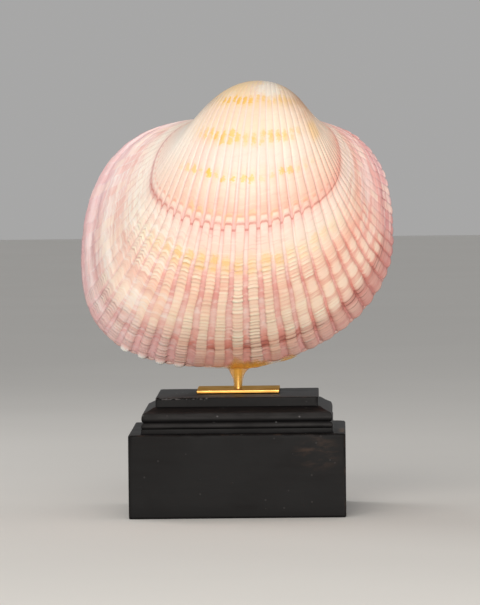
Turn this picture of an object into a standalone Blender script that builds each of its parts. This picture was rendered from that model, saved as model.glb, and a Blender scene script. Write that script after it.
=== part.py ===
"""A giant heart cockle, both valves closed, on a brass rod and a black wooden plinth.

Frame: the origin is the centre of the plinth's underside, +Z is up, +X is the shell's front
(anterior) end and -Y is the side of the right valve. The valves meet in the plane Y = 0.

A valve grows as a spiral round its hinge axis, which runs along X through the pole. The shell's
edge at one age is an outline in a plane through that axis. Older outlines are larger and turned
further down, so the outer surface is that outline, scaled by the growth and turned by the spiral.
"""

import math

import bmesh
import bpy
import numpy as np
from mathutils import Matrix

MM = 0.001

# Frame of a valve
POLE_X = 15.1 * MM
POLE_Z = 168.0 * MM
HALF_GAP_AT_EDGE = 0.15 * MM
HALF_GAP_AT_BEAK = 1.0 * MM

# Outline of the full-grown edge, measured from the pole
FRONT_REACH = 51.6 * MM
FRONT_DROP = 53.4 * MM
REAR_REACH = 81.4 * MM
REAR_DROP = 62.7 * MM
BELLY_REACH = 108.2 * MM
BELLY_SETBACK = 19.8 * MM
HINGE_FRONT = 8.2 * MM
HINGE_REAR = 33.8 * MM
HINGE_DROP = 4.2 * MM
FRONT_SHOULDER_POWER = 2.6
FRONT_BELLY_POWER = 2.0
REAR_BELLY_POWER = 2.6
REAR_SHOULDER_POWER = 2.25

# The young shell was rounder behind and reached less far
YOUNG_REAR_BELLY_POWER = 1.88
YOUNG_REAR_REACH = 0.965
YOUNG_FRONT_REACH = 0.97
YOUNG_BELLY_REACH = 0.985
YOUNG_BY_GROWTH = 0.61

# Spiral
GROWTH_RATE = 0.66
MOST_TURN = 2.9
TURN_SOFTNESS = 4.0
LEAN = 14.7 * MM

# Ribs: pitch along the outline, as (share of the ribbed length, pitch)
RIB_COUNT = 61
RIB_PITCHES = (
    (0.00, 3.85 * MM),
    (0.20, 4.10 * MM),
    (0.26, 5.30 * MM),
    (0.30, 7.30 * MM),
    (0.34, 8.15 * MM),
    (0.40, 7.95 * MM),
    (0.45, 8.35 * MM),
    (0.57, 8.45 * MM),
    (0.62, 7.80 * MM),
    (0.66, 6.60 * MM),
    (0.74, 5.75 * MM),
    (0.85, 5.60 * MM),
    (1.00, 5.20 * MM),
)
RIB_HEIGHT_PER_PITCH = 0.13
RIB_SHOULDER = 0.23
REAR_RIB_FADE = 0.45
HINGE_COLUMNS = 6

# Growth rows from the edge to the beak, with a ledge where growth once stopped
ROWS = (1.0, 0.92, 0.83, 0.73, 0.625, 0.605, 0.52, 0.42, 0.32)
LEDGE_GROWTH = 0.615
LEDGE_START = 0.71
LEDGE_HEIGHT = 0.9 * MM
BEAK_ROWS = (0.25, 0.18, 0.11, 0.05)

# Wall and hollow
WALL = 3.6 * MM
INNER_COLUMNS = 40
INNER_ROWS = (1.0, 0.82, 0.6, 0.4, 0.22)
INNER_WALL_POWER = 0.55

# Ligament behind the beaks, measured from the pole
LIGAMENT_FRONT_X = -14.1 * MM
LIGAMENT_LENGTH = 15.5 * MM
LIGAMENT_DROP = 2.65 * MM
LIGAMENT_RADIUS = 1.2 * MM
LIGAMENT_SIDES = 10
LIGAMENT_STATIONS = 7

# Stand
CLEARANCE = 0.3 * MM
SHELL_BOTTOM_Z = POLE_Z - BELLY_REACH
ROD_RADIUS = 1.6 * MM
ROD_SIDES = 32
PLATE_WIDTH = 34.6 * MM
PLATE_THICKNESS = 1.2 * MM
PLATE_CENTRE_Y = 9.8 * MM
PLATE_EDGE = 0.15 * MM
GLUE_GAP = 0.2 * MM
GLUE_FOOT_DROP = 5.6 * MM
GLUE_SIDES = 20
GLUE_STATIONS = 6
GLUE_FOOT_RADIUS = 2.15 * MM
GLUE_TOP_RADIUS = 4.4 * MM

# Plinth
BLOCK_HALF = 45.0 * MM
BLOCK_HEIGHT = 34.8 * MM
BLOCK_EDGE = 0.5 * MM
COVE_HALF = 39.6 * MM
COVE_WIDTH = 0.9 * MM
COVE_TOP_Z = 36.8 * MM
LOWER_BEAD_HALF = 39.8 * MM
LOWER_BEAD_TOP_Z = 39.4 * MM
UPPER_BEAD_HALF = 39.6 * MM
UPPER_BEAD_WIDEST_Z = 41.0 * MM
UPPER_BEAD_TOP_Z = 43.5 * MM
BEAD_DEPTH = 0.8 * MM
BEAD_GAP = 0.2 * MM
SLOPE_START_HALF = 38.4 * MM
SLOPE_MIDDLE = (36.3 * MM, 44.55 * MM)
SLOPE_END = (34.7 * MM, 45.6 * MM)
SLAB_HALF = 33.8 * MM
SLAB_TOP_Z = 49.5 * MM
SLAB_EDGE = 0.3 * MM
ARC_STEPS = 5

PEARL = (0.80, 0.62, 0.53, 1.0)
HORN = (0.06, 0.03, 0.015, 1.0)
AMBER = (0.62, 0.28, 0.04, 1.0)
BRASS = (0.70, 0.48, 0.18, 1.0)
BLACK_PAINT = (0.012, 0.011, 0.011, 1.0)


def clear_scene():
    for thing in list(bpy.data.objects):
        bpy.data.objects.remove(thing, do_unlink=True)


def make_material(name, colour, roughness, metallic=0.0):
    material = bpy.data.materials.new(name)
    material.use_nodes = True
    shader = material.node_tree.nodes["Principled BSDF"]
    shader.inputs["Base Color"].default_value = colour
    shader.inputs["Roughness"].default_value = roughness
    shader.inputs["Metallic"].default_value = metallic
    return material


def make_empty(name, location):
    holder = bpy.data.objects.new(name, None)
    holder.location = location
    bpy.context.scene.collection.objects.link(holder)
    return holder


def make_object(name, shape, material, parent, location, sharp_degrees=30):
    """Turns a bmesh into a named object, placed relative to its parent."""
    bmesh.ops.recalc_face_normals(shape, faces=shape.faces)
    mesh = bpy.data.meshes.new(name)
    shape.to_mesh(mesh)
    shape.free()
    mesh.shade_smooth()
    mesh.set_sharp_from_angle(angle=math.radians(sharp_degrees))
    mesh.materials.append(material)
    thing = bpy.data.objects.new(name, mesh)
    thing.parent = parent
    thing.location = location
    bpy.context.scene.collection.objects.link(thing)
    return thing


def skin(shape, first, second):
    """Faces between two closed loops of corners that start side by side, walked in step."""
    i = 0
    j = 0
    while i < len(first) or j < len(second):
        here = first[i % len(first)]
        there = second[j % len(second)]
        following = first[(i + 1) % len(first)]
        beyond = second[(j + 1) % len(second)]
        lead = (i + 1) * len(second) - (j + 1) * len(first)
        if lead == 0:
            shape.faces.new((here, following, beyond, there))
        elif lead < 0:
            shape.faces.new((here, following, there))
        else:
            shape.faces.new((here, beyond, there))
        i += lead <= 0
        j += lead >= 0


def loft(rows):
    """A solid skinned over closed loops of points, with a fan over each end."""
    shape = bmesh.new()
    loops = [[shape.verts.new(point) for point in row] for row in rows]
    for lower, upper in zip(loops, loops[1:]):
        skin(shape, lower, upper)
    ends = [shape.faces.new(loops[0]), shape.faces.new(loops[-1])]
    bmesh.ops.poke(shape, faces=ends)
    return shape


def quarter(centre, reach, power, start, end, shares):
    """Points on a quarter of a superellipse, at even shares of its length. The quarter runs
    between two angles that are counted in quarter turns."""
    angles = np.linspace(start, end, 1201) * math.pi / 2
    across = np.cos(angles)
    along = np.sin(angles)
    x = centre[0] + reach[0] * np.sign(across) * np.abs(across) ** (2 / power)
    z = centre[1] + reach[1] * np.sign(along) * np.abs(along) ** (2 / power)
    walked = np.concatenate([[0.0], np.cumsum(np.hypot(np.diff(x), np.diff(z)))])
    at = np.asarray(shares) * walked[-1]
    return np.stack([np.interp(at, walked, x), np.interp(at, walked, z)], axis=1)


def outline(stations, youth=0.0):
    """The edge as (x, z) from the pole. Stations run from 0 at the front end of the hinge to 4
    at its rear end, one for each quarter, and on to 5 along the hinge line."""
    stations = np.asarray(stations, dtype=float)
    part = np.minimum(stations.astype(int), 4)
    share = stations - part
    front = FRONT_REACH * (1.0 - (1.0 - YOUNG_FRONT_REACH) * youth)
    rear = REAR_REACH * (1.0 - (1.0 - YOUNG_REAR_REACH) * youth)
    belly = BELLY_REACH * (1.0 - (1.0 - YOUNG_BELLY_REACH) * youth)
    rear_power = REAR_BELLY_POWER + (YOUNG_REAR_BELLY_POWER - REAR_BELLY_POWER) * youth
    pieces = (
        quarter((HINGE_FRONT, -FRONT_DROP), (front - HINGE_FRONT, FRONT_DROP - HINGE_DROP),
                FRONT_SHOULDER_POWER, 1, 0, share),
        quarter((-BELLY_SETBACK, -FRONT_DROP), (front + BELLY_SETBACK, belly - FRONT_DROP),
                FRONT_BELLY_POWER, 0, -1, share),
        quarter((-BELLY_SETBACK, -REAR_DROP), (rear - BELLY_SETBACK, belly - REAR_DROP),
                rear_power, -1, -2, share),
        quarter((-HINGE_REAR, -REAR_DROP), (rear - HINGE_REAR, REAR_DROP - HINGE_DROP),
                REAR_SHOULDER_POWER, 2, 1, share),
        np.stack([-HINGE_REAR + (HINGE_REAR + HINGE_FRONT) * share,
                  np.full_like(share, -HINGE_DROP)], axis=1),
    )
    result = np.zeros((len(stations), 2))
    for index, piece in enumerate(pieces):
        result[part == index] = piece[part == index]
    return result


def outward(stations, youth=0.0):
    """Unit normals of the outline, pointing out of the shell."""
    step = 0.012
    ahead = outline(np.minimum(stations + step, 5.0), youth)
    behind = outline(np.maximum(stations - step, 0.0), youth)
    along = ahead - behind
    normal = np.stack([-along[:, 1], along[:, 0]], axis=1)
    return normal / np.linalg.norm(normal, axis=1)[:, None]


def rib_stations(phase):
    """Stations of each groove and of the two shoulders of each rib, with the pitch there."""
    fine = np.linspace(0.0, 4.0, 4001)
    path = outline(fine)
    walked = np.concatenate([[0.0], np.cumsum(np.linalg.norm(np.diff(path, axis=0), axis=1))])
    share = walked / walked[-1]
    pitch = np.interp(share, [at for at, _ in RIB_PITCHES], [size for _, size in RIB_PITCHES])
    middle = 2.0 / (pitch[1:] + pitch[:-1])
    counted = np.concatenate([[0.0], np.cumsum(middle * np.diff(walked))])
    counted *= RIB_COUNT / counted[-1]
    grooves = np.arange(-1, RIB_COUNT + 1) + phase
    marks = np.concatenate([grooves, grooves + RIB_SHOULDER, grooves + 1.0 - RIB_SHOULDER])
    is_groove = np.arange(len(marks)) < len(grooves)
    order = np.argsort(marks)
    inside = (marks[order] >= 0.0) & (marks[order] < RIB_COUNT)
    marks = marks[order][inside]
    return np.interp(marks, counted, fine), np.interp(marks, counted, pitch), is_groove[order][inside]


def turn(growth):
    """Angle of the edge round the hinge axis, from 0 at full growth."""
    spiral = np.log(1.0 / growth) / GROWTH_RATE
    return spiral / (1.0 + (spiral / MOST_TURN) ** TURN_SOFTNESS) ** (1.0 / TURN_SOFTNESS)


def youth_at(growth):
    """0 at full growth, 1 for the young shell's outline."""
    share = np.clip((1.0 - growth) / (1.0 - YOUNG_BY_GROWTH), 0.0, 1.0)
    return share * share * (3.0 - 2.0 * share)


def grown_row(stations, growth, inset, side):
    """One growth row from the pole, with the outline drawn in by inset at each station. The
    side is 1 for the right valve and -1 for the left one."""
    youth = youth_at(growth)
    edge = outline(stations, youth) - outward(stations, youth) * np.asarray(inset)[:, None]
    angle = turn(growth)
    drop = growth * edge[:, 1]
    x = growth * edge[:, 0] + LEAN * (1.0 - growth) * drop / BELLY_REACH
    gap = HALF_GAP_AT_EDGE + (HALF_GAP_AT_BEAK - HALF_GAP_AT_EDGE) * (1.0 - growth)
    y = side * (drop * math.sin(angle) - gap)
    z = drop * math.cos(angle)
    return np.stack([x, y, z], axis=1)


def build_valve(name, material, parent, side, phase):
    """A ribbed valve with its hollow, skinned from the hollow's crown round the edge to the beak."""
    ribbed, pitch, is_groove = rib_stations(phase)
    hinge = np.linspace(4.0, 5.0, HINGE_COLUMNS + 1)[:-1]
    stations = np.concatenate([ribbed, hinge])
    rear = np.interp(ribbed, (2.4, 3.2), (1.0, REAR_RIB_FADE))
    depth = np.concatenate([is_groove * pitch * RIB_HEIGHT_PER_PITCH * rear, np.zeros(len(hinge))])

    column = np.arange(INNER_COLUMNS) * len(stations) / INNER_COLUMNS
    inner_stations = np.interp(column, np.arange(len(stations) + 1), np.append(stations, 5.0))
    rows = []
    for growth in reversed(INNER_ROWS):
        wall = WALL * growth ** INNER_WALL_POWER / growth
        rows.append(grown_row(inner_stations, growth, np.full(INNER_COLUMNS, wall), side))
    for growth in ROWS:
        fade = np.clip((LEDGE_START - growth) / (LEDGE_START - LEDGE_GROWTH), 0.0, 1.0)
        ledge = LEDGE_HEIGHT * fade if growth > LEDGE_GROWTH else 0.0
        rows.append(grown_row(stations, growth, depth + ledge, side))
    for growth in BEAK_ROWS:
        kept = stations[::3]
        rows.append(grown_row(kept, growth, np.zeros(len(kept)), side))
    make_object(name, loft(rows), material, parent, (0.0, 0.0, 0.0), 20)


def square_rows(profile):
    """Square loops from a list of (half width, z)."""
    return [[(-half, -half, z), (half, -half, z), (half, half, z), (-half, half, z)] for half, z in profile]


def bow(centre, reach, start, end, steps=ARC_STEPS):
    """Points on an elliptic arc between two angles in degrees."""
    points = []
    for step in range(steps + 1):
        angle = math.radians(start + (end - start) * step / steps)
        points.append((centre[0] + reach[0] * math.cos(angle), centre[1] + reach[1] * math.sin(angle)))
    return points


def plinth_profile():
    """Block, small cove, two beads, a slope and the top slab, from the bottom up."""
    profile = [(BLOCK_HALF - BLOCK_EDGE, 0.0), (BLOCK_HALF, BLOCK_EDGE)]
    profile += [(BLOCK_HALF, BLOCK_HEIGHT - BLOCK_EDGE), (BLOCK_HALF - BLOCK_EDGE, BLOCK_HEIGHT)]
    cove_height = COVE_TOP_Z - BLOCK_HEIGHT
    profile += bow((COVE_HALF + COVE_WIDTH, COVE_TOP_Z), (COVE_WIDTH, cove_height), 268, 180)
    lower_height = (LOWER_BEAD_TOP_Z - COVE_TOP_Z - BEAD_GAP / 2) / 2
    lower_centre = (LOWER_BEAD_HALF - BEAD_DEPTH, LOWER_BEAD_TOP_Z - lower_height)
    profile += bow(lower_centre, (BEAD_DEPTH, lower_height), -90, 90)
    upper_foot = UPPER_BEAD_WIDEST_Z - LOWER_BEAD_TOP_Z - BEAD_GAP
    upper_centre = (UPPER_BEAD_HALF - BEAD_DEPTH, UPPER_BEAD_WIDEST_Z)
    profile += bow(upper_centre, (BEAD_DEPTH, upper_foot), -90, 0)
    over = (UPPER_BEAD_HALF - SLOPE_START_HALF, UPPER_BEAD_TOP_Z - UPPER_BEAD_WIDEST_Z)
    profile += bow((SLOPE_START_HALF, UPPER_BEAD_WIDEST_Z), over, 12, 90)
    profile += [SLOPE_MIDDLE, SLOPE_END]
    profile += [(SLAB_HALF, SLOPE_END[1] + BEAD_GAP), (SLAB_HALF, SLAB_TOP_Z - SLAB_EDGE)]
    profile += [(SLAB_HALF - SLAB_EDGE, SLAB_TOP_Z)]
    return profile


def build_glue(material, parent):
    """The resin round the rod: a bored flare that widens up to the shell, spun round the rod."""
    bore = ROD_RADIUS + GLUE_GAP
    section = [(bore, 0.0), (bore, -GLUE_FOOT_DROP)]
    for step in range(GLUE_STATIONS):
        share = step / (GLUE_STATIONS - 1)
        flare = 1.0 - math.sqrt(1.0 - share ** 2)
        radius = GLUE_FOOT_RADIUS + (GLUE_TOP_RADIUS - GLUE_FOOT_RADIUS) * flare
        section.append((radius, GLUE_FOOT_DROP * (share - 1.0)))
    shape = bmesh.new()
    corners = [shape.verts.new((radius, 0.0, z)) for radius, z in section]
    edges = [shape.edges.new((corners[i - 1], corners[i])) for i in range(len(corners))]
    bmesh.ops.spin(shape, geom=corners + edges, cent=(0, 0, 0), axis=(0, 0, 1), angle=2 * math.pi,
                   steps=GLUE_SIDES, use_merge=True)
    bmesh.ops.remove_doubles(shape, verts=shape.verts, dist=0.001 * MM)
    make_object("glue", shape, material, parent, (0.0, 0.0, SHELL_BOTTOM_Z - CLEARANCE))


def build_ligament(material, parent):
    rows = []
    for station in range(LIGAMENT_STATIONS):
        share = station / (LIGAMENT_STATIONS - 1)
        x = LIGAMENT_LENGTH * (0.5 - share)
        radius = LIGAMENT_RADIUS * (0.35 + 0.65 * math.sin(math.pi * share) ** 0.5)
        ring = []
        for corner in range(LIGAMENT_SIDES):
            angle = 2 * math.pi * corner / LIGAMENT_SIDES
            ring.append((x, radius * math.cos(angle), radius * math.sin(angle)))
        rows.append(ring)
    middle = LIGAMENT_FRONT_X - LIGAMENT_LENGTH / 2
    make_object("ligament", loft(rows), material, parent, (middle, 0.0, -LIGAMENT_DROP))


def build_stand(paint, brass, amber, parent):
    """Plinth, plate, rod and resin, from the bottom up."""
    make_object("plinth", loft(square_rows(plinth_profile())), paint, parent, (0.0, 0.0, 0.0))

    plate_bottom = SLAB_TOP_Z + CLEARANCE
    plate_shape = bmesh.new()
    size = Matrix.Diagonal((PLATE_WIDTH, PLATE_WIDTH, PLATE_THICKNESS, 1.0))
    bmesh.ops.create_cube(plate_shape, size=1.0, matrix=size)
    plate_z = plate_bottom + PLATE_THICKNESS / 2
    plate = make_object("stand_plate", plate_shape, brass, parent, (0.0, PLATE_CENTRE_Y, plate_z))
    eased = plate.modifiers.new("eased_edges", "BEVEL")
    eased.width = PLATE_EDGE
    eased.segments = 1

    rod_bottom = plate_bottom + PLATE_THICKNESS + CLEARANCE
    rod_top = SHELL_BOTTOM_Z - CLEARANCE
    rod_shape = bmesh.new()
    bmesh.ops.create_cone(rod_shape, cap_ends=True, segments=ROD_SIDES, radius1=ROD_RADIUS,
                          radius2=ROD_RADIUS, depth=rod_top - rod_bottom)
    make_object("stand_rod", rod_shape, brass, parent, (0.0, 0.0, (rod_bottom + rod_top) / 2))
    build_glue(amber, parent)


def main():
    clear_scene()
    pearl = make_material("shell", PEARL, 0.45)
    horn = make_material("horn", HORN, 0.5)
    amber = make_material("resin", AMBER, 0.2)
    brass = make_material("brass", BRASS, 0.25, 1.0)
    paint = make_material("black_paint", BLACK_PAINT, 0.3)

    pole = make_empty("hinge_pole", (POLE_X, 0.0, POLE_Z))
    build_valve("right_valve", pearl, pole, 1, 0.0)
    build_valve("left_valve", pearl, pole, -1, 0.5)
    build_ligament(horn, pole)
    stand = make_empty("stand", (0.0, 0.0, 0.0))
    build_stand(paint, brass, amber, stand)


main()
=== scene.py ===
"""Dresses a giant heart cockle, standing on a brass rod over a black wooden plinth.

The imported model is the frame. The two valves are replaced by finer ones that grow by the same
rule, with their ribs, scales and growth stops in the mesh. The stand keeps its solids.
"""

from __future__ import annotations

import logging
import math
from dataclasses import dataclass
from enum import Enum

import bmesh
import bpy
import numpy as np
from mathutils import Matrix, Vector, noise


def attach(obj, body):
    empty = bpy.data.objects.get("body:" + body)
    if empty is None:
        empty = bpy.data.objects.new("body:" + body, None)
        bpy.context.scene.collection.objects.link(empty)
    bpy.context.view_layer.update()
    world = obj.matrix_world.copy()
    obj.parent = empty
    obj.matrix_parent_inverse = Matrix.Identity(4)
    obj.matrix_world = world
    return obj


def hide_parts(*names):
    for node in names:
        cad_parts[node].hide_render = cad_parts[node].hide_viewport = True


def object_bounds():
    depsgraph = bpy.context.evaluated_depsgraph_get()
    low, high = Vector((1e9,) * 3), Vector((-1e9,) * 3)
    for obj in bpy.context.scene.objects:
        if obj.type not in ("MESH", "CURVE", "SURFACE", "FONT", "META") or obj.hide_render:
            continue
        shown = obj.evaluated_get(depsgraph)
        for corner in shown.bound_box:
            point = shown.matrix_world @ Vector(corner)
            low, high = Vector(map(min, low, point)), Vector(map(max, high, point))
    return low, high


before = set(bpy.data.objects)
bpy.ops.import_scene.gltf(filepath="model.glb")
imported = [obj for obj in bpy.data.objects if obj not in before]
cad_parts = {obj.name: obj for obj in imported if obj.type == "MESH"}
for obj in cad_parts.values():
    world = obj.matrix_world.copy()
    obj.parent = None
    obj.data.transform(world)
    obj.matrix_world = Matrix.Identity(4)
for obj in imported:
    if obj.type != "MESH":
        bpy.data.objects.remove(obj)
CAD_BOX = [list(corner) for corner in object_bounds()]

LOG = logging.getLogger("cockle")
MM = 0.001

# How the shader nodes are laid out in the node editor.
NODE_WIDTH = 220
NODE_HEIGHT = 260
NODES_PER_LINE = 12

# The share of a soft band's half width over which it is full.
BAND_CORE = 0.35

# How far the shell had grown when growth stopped and left the scalloped ring.
RING = 0.6115

# Stations of the hinge's rear and front ends, as GrowthForm.outline counts them.
HINGE_REAR, HINGE_FRONT = 4.0, 5.0

# Half width and top of the plinth's block and of its slab, in mm.
BLOCK_HALF, BLOCK_TOP = 45.0, 34.8
SLAB_HALF, SLAB_TOP = 33.8, 49.5

Point = tuple[float, float, float]
Pair = tuple[float, float]
Colour = tuple[float, float, float]
Stop = tuple[float, Colour]

# A band across the growth: its middle, its half width, and its strength or height.
Band = tuple[float, float, float]


def srgb(red: int, green: int, blue: int) -> Colour:
    """Converts a screen colour to linear light.

    Args:
        red, green, blue: channel values from 0 to 255.

    Returns:
        The linear colour.
    """
    channels = [value / 255.0 for value in (red, green, blue)]
    return tuple(c / 12.92 if c <= 0.04045 else ((c + 0.055) / 1.055) ** 2.4 for c in channels)


def by_age(*rows: tuple[float, int, int, int]) -> tuple[Stop, ...]:
    """Colours by how far the shell had grown.

    Args:
        rows: the growth and the screen colour's red, green and blue of each stop.

    Returns:
        The stops in linear light.
    """
    return tuple((growth, srgb(*colour)) for growth, *colour in rows)


def smooth(value: np.ndarray | float, low: float, high: float) -> np.ndarray:
    """Eases from 0 at low to 1 at high.

    Args:
        value: the value or values to ease.
        low: where the result leaves 0.
        high: where the result reaches 1.

    Returns:
        The eased values.
    """
    share = np.clip((np.asarray(value, dtype=float) - low) / (high - low), 0.0, 1.0)
    return share * share * (3.0 - 2.0 * share)


def wrap(start: int, columns: int, rows: int) -> list[tuple[int, ...]]:
    """Quads that join closed rows of points, each to the next.

    Args:
        start: the number of the first row's first point.
        columns: points in a row.
        rows: how many rows there are.

    Returns:
        The faces.
    """
    faces: list[tuple[int, ...]] = []
    for row in range(rows - 1):
        first = start + row * columns + np.arange(columns)
        beside = start + row * columns + (np.arange(columns) + 1) % columns
        quads = np.stack([first, beside, beside + columns, first + columns], axis=1)
        faces.extend(map(tuple, quads.tolist()))
    return faces


def add_object(name: str, mesh: bpy.types.Mesh, material: bpy.types.Material) -> bpy.types.Object:
    """Puts a mesh in the scene with its material.

    Args:
        name: the object's name.
        mesh: its mesh.
        material: its material.

    Returns:
        The object.
    """
    mesh.materials.append(material)
    piece = bpy.data.objects.new(name, mesh)
    bpy.context.scene.collection.objects.link(piece)
    LOG.info("%s: %d faces", name, len(mesh.polygons))
    return piece


class Side(Enum):
    """Which half of the shell a valve is."""

    RIGHT = "right"
    LEFT = "left"


class Value:
    """A shader value that plain sums and products can be written with."""

    def __init__(self, wiring: Wiring, socket: bpy.types.NodeSocket) -> None:
        """Takes the wiring that the value belongs to, and its socket."""
        self.wiring = wiring
        self.socket = socket

    def __add__(self, other: object) -> Value:
        """The sum with another value."""
        return self.wiring.math("ADD", self, other)

    def __sub__(self, other: object) -> Value:
        """This value less another."""
        return self.wiring.math("SUBTRACT", self, other)

    def __rsub__(self, other: float) -> Value:
        """A number less this value."""
        return self.wiring.math("SUBTRACT", other, self)

    def __mul__(self, other: object) -> Value:
        """The product with another value."""
        return self.wiring.math("MULTIPLY", self, other)

    def __abs__(self) -> Value:
        """The value without its sign."""
        return self.wiring.math("ABSOLUTE", self)

    def larger(self, other: object) -> Value:
        """The larger of this value and another."""
        return self.wiring.math("MAXIMUM", self, other)

    def root(self) -> Value:
        """The square root."""
        return self.wiring.math("SQRT", self)

    def floor(self) -> Value:
        """The whole number at or below the value."""
        return self.wiring.math("FLOOR", self)

    def rest(self) -> Value:
        """How far the value is above its whole number."""
        return self.wiring.math("FRACT", self)

    def ease(self, low: float, high: float, start: float = 0.0, end: float = 1.0) -> Value:
        """Maps the value smoothly from one range to another.

        Args:
            low, high: the range that is read.
            start, end: the results at low and high.

        Returns:
            The mapped value.
        """
        node = self.wiring.add("MapRange", interpolation_type="SMOOTHSTEP")
        for socket, source in zip(node.inputs, (self, low, high, start, end)):
            self.wiring.feed(source, socket)
        return Value(self.wiring, node.outputs[0])

    def band(self, centre: float, half: float) -> Value:
        """A soft band that is 1 at its centre and 0 beyond its half width.

        Args:
            centre: the middle of the band.
            half: its half width.

        Returns:
            The band as a mask.
        """
        return abs(self - centre).ease(half * BAND_CORE, half, 1.0, 0.0)

    def ramp(self, stops: tuple[Stop, ...]) -> Value:
        """The value's colour on a ramp.

        Args:
            stops: positions with their colours, in order.

        Returns:
            The colour.
        """
        node = self.wiring.add("ValToRGB")
        elements = node.color_ramp.elements
        while len(elements) < len(stops):
            elements.new(0.5)
        for element, (position, colour) in zip(elements, stops):
            element.position = position
            element.color = (*colour, 1.0)
        self.wiring.feed(self, node.inputs[0])
        return Value(self.wiring, node.outputs[0])

    def random(self, seed: float) -> Value:
        """A random number that stays the same between whole values.

        Args:
            seed: shifts the numbers.

        Returns:
            The random number, from 0 to 1.
        """
        node = self.wiring.add("TexWhiteNoise", noise_dimensions="1D")
        self.wiring.feed(self.floor() + seed, node.inputs["W"])
        return Value(self.wiring, node.outputs[0])


class Wiring:
    """Places and links shader nodes in one node tree."""

    def __init__(self, tree: bpy.types.NodeTree) -> None:
        """Takes the node tree to work in."""
        self.tree = tree
        self.count = 0

    def add(self, kind: str, **settings: object) -> bpy.types.Node:
        """Adds a node.

        Args:
            kind: the node's type name without its ShaderNode prefix.
            settings: attributes to set on the node.

        Returns:
            The new node.
        """
        node = self.tree.nodes.new("ShaderNode" + kind)
        line, column = divmod(self.count, NODES_PER_LINE)
        node.location = (NODE_WIDTH * column, -NODE_HEIGHT * line)
        self.count += 1
        for key, value in settings.items():
            setattr(node, key, value)
        return node

    def feed(self, source: object, socket: bpy.types.NodeSocket) -> None:
        """Links a value to an input, or sets the input to a plain number, vector or colour.

        Args:
            source: a value, an output socket, a number, a vector or a colour.
            socket: the input to feed.
        """
        if isinstance(source, Value):
            source = source.socket
        if isinstance(source, bpy.types.NodeSocket):
            self.tree.links.new(source, socket)
        elif socket.type == "RGBA":
            socket.default_value = (*source, 1.0)
        else:
            socket.default_value = source

    def math(self, operation: str, first: object, second: object = 0.0) -> Value:
        """Adds a math node.

        Args:
            operation: the math node's operation.
            first, second: values or numbers.

        Returns:
            The result.
        """
        node = self.add("Math", operation=operation)
        self.feed(first, node.inputs[0])
        self.feed(second, node.inputs[1])
        return Value(self, node.outputs[0])

    def vector(self, operation: str, first: object, second: object = (0.0, 0.0, 0.0)) -> Value:
        """Adds a vector math node.

        Args:
            operation: the vector math node's operation.
            first, second: vectors.

        Returns:
            The resulting vector, or the number where the operation measures a length.
        """
        node = self.add("VectorMath", operation=operation)
        self.feed(first, node.inputs[0])
        self.feed(second, node.inputs[1])
        return Value(self, node.outputs["Value" if operation == "LENGTH" else "Vector"])

    def mix(self, share: object, first: object, second: object) -> Value:
        """Mixes two colours.

        Args:
            share: how much of the second colour shows.
            first, second: values or colours.

        Returns:
            The mixed colour.
        """
        node = self.add("Mix", data_type="RGBA", clamp_factor=True)
        self.feed(share, node.inputs[0])
        self.feed(first, node.inputs[6])
        self.feed(second, node.inputs[7])
        return Value(self, node.outputs[2])

    def attribute(self, name: str) -> Value:
        """The value of one of the mesh's own attributes."""
        node = self.add("Attribute", attribute_name=name, attribute_type="GEOMETRY")
        return Value(self, node.outputs["Fac"])

    def place(self) -> Value:
        """The point's place in the object's own coordinates, in metres."""
        return Value(self, self.add("TexCoord").outputs["Object"])

    def parts(self, vector: Value) -> list[Value]:
        """A vector's three parts."""
        node = self.add("SeparateXYZ")
        self.feed(vector, node.inputs[0])
        return [Value(self, socket) for socket in node.outputs]

    def noise(self, place: Value, scale: object, detail: float = 2.0, roughness: float = 0.5) -> Value:
        """Adds a noise texture.

        Args:
            place: the texture's coordinates.
            scale: features per metre.
            detail: octaves of detail.
            roughness: how strong the finer octaves are.

        Returns:
            The noise value, about 0.5 on average.
        """
        node = self.add("TexNoise")
        self.feed(place, node.inputs["Vector"])
        self.feed(scale, node.inputs["Scale"])
        self.feed(detail, node.inputs["Detail"])
        self.feed(roughness, node.inputs["Roughness"])
        return Value(self, node.outputs[0])

    def overlay(self, colour: object, *layers: tuple[Value, float, Colour]) -> Value:
        """Lays tints over a colour, one after another.

        Args:
            colour: the colour below.
            layers: where each tint shows, how strongly, and the tint.

        Returns:
            The new colour.
        """
        for mask, strength, tint in layers:
            colour = self.mix(mask * strength, colour, tint)
        return colour

    def surface(self, inputs: dict[str, object]) -> None:
        """Feeds the inputs of the material's surface shader.

        Args:
            inputs: a value, number, vector or colour for each input, by the input's name.
        """
        shader = self.tree.nodes["Principled BSDF"]
        for name, source in inputs.items():
            self.feed(source, shader.inputs[name])

    def bump(self, height: Value, distance: float, strength: float) -> Value:
        """Adds a bump node.

        Args:
            height: the height.
            distance: how far a height of 1 stands out, in metres.
            strength: the bump's strength.

        Returns:
            The normal.
        """
        node = self.add("Bump")
        self.feed(strength, node.inputs["Strength"])
        self.feed(distance, node.inputs["Distance"])
        self.feed(height, node.inputs["Height"])
        return Value(self, node.outputs[0])


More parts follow.
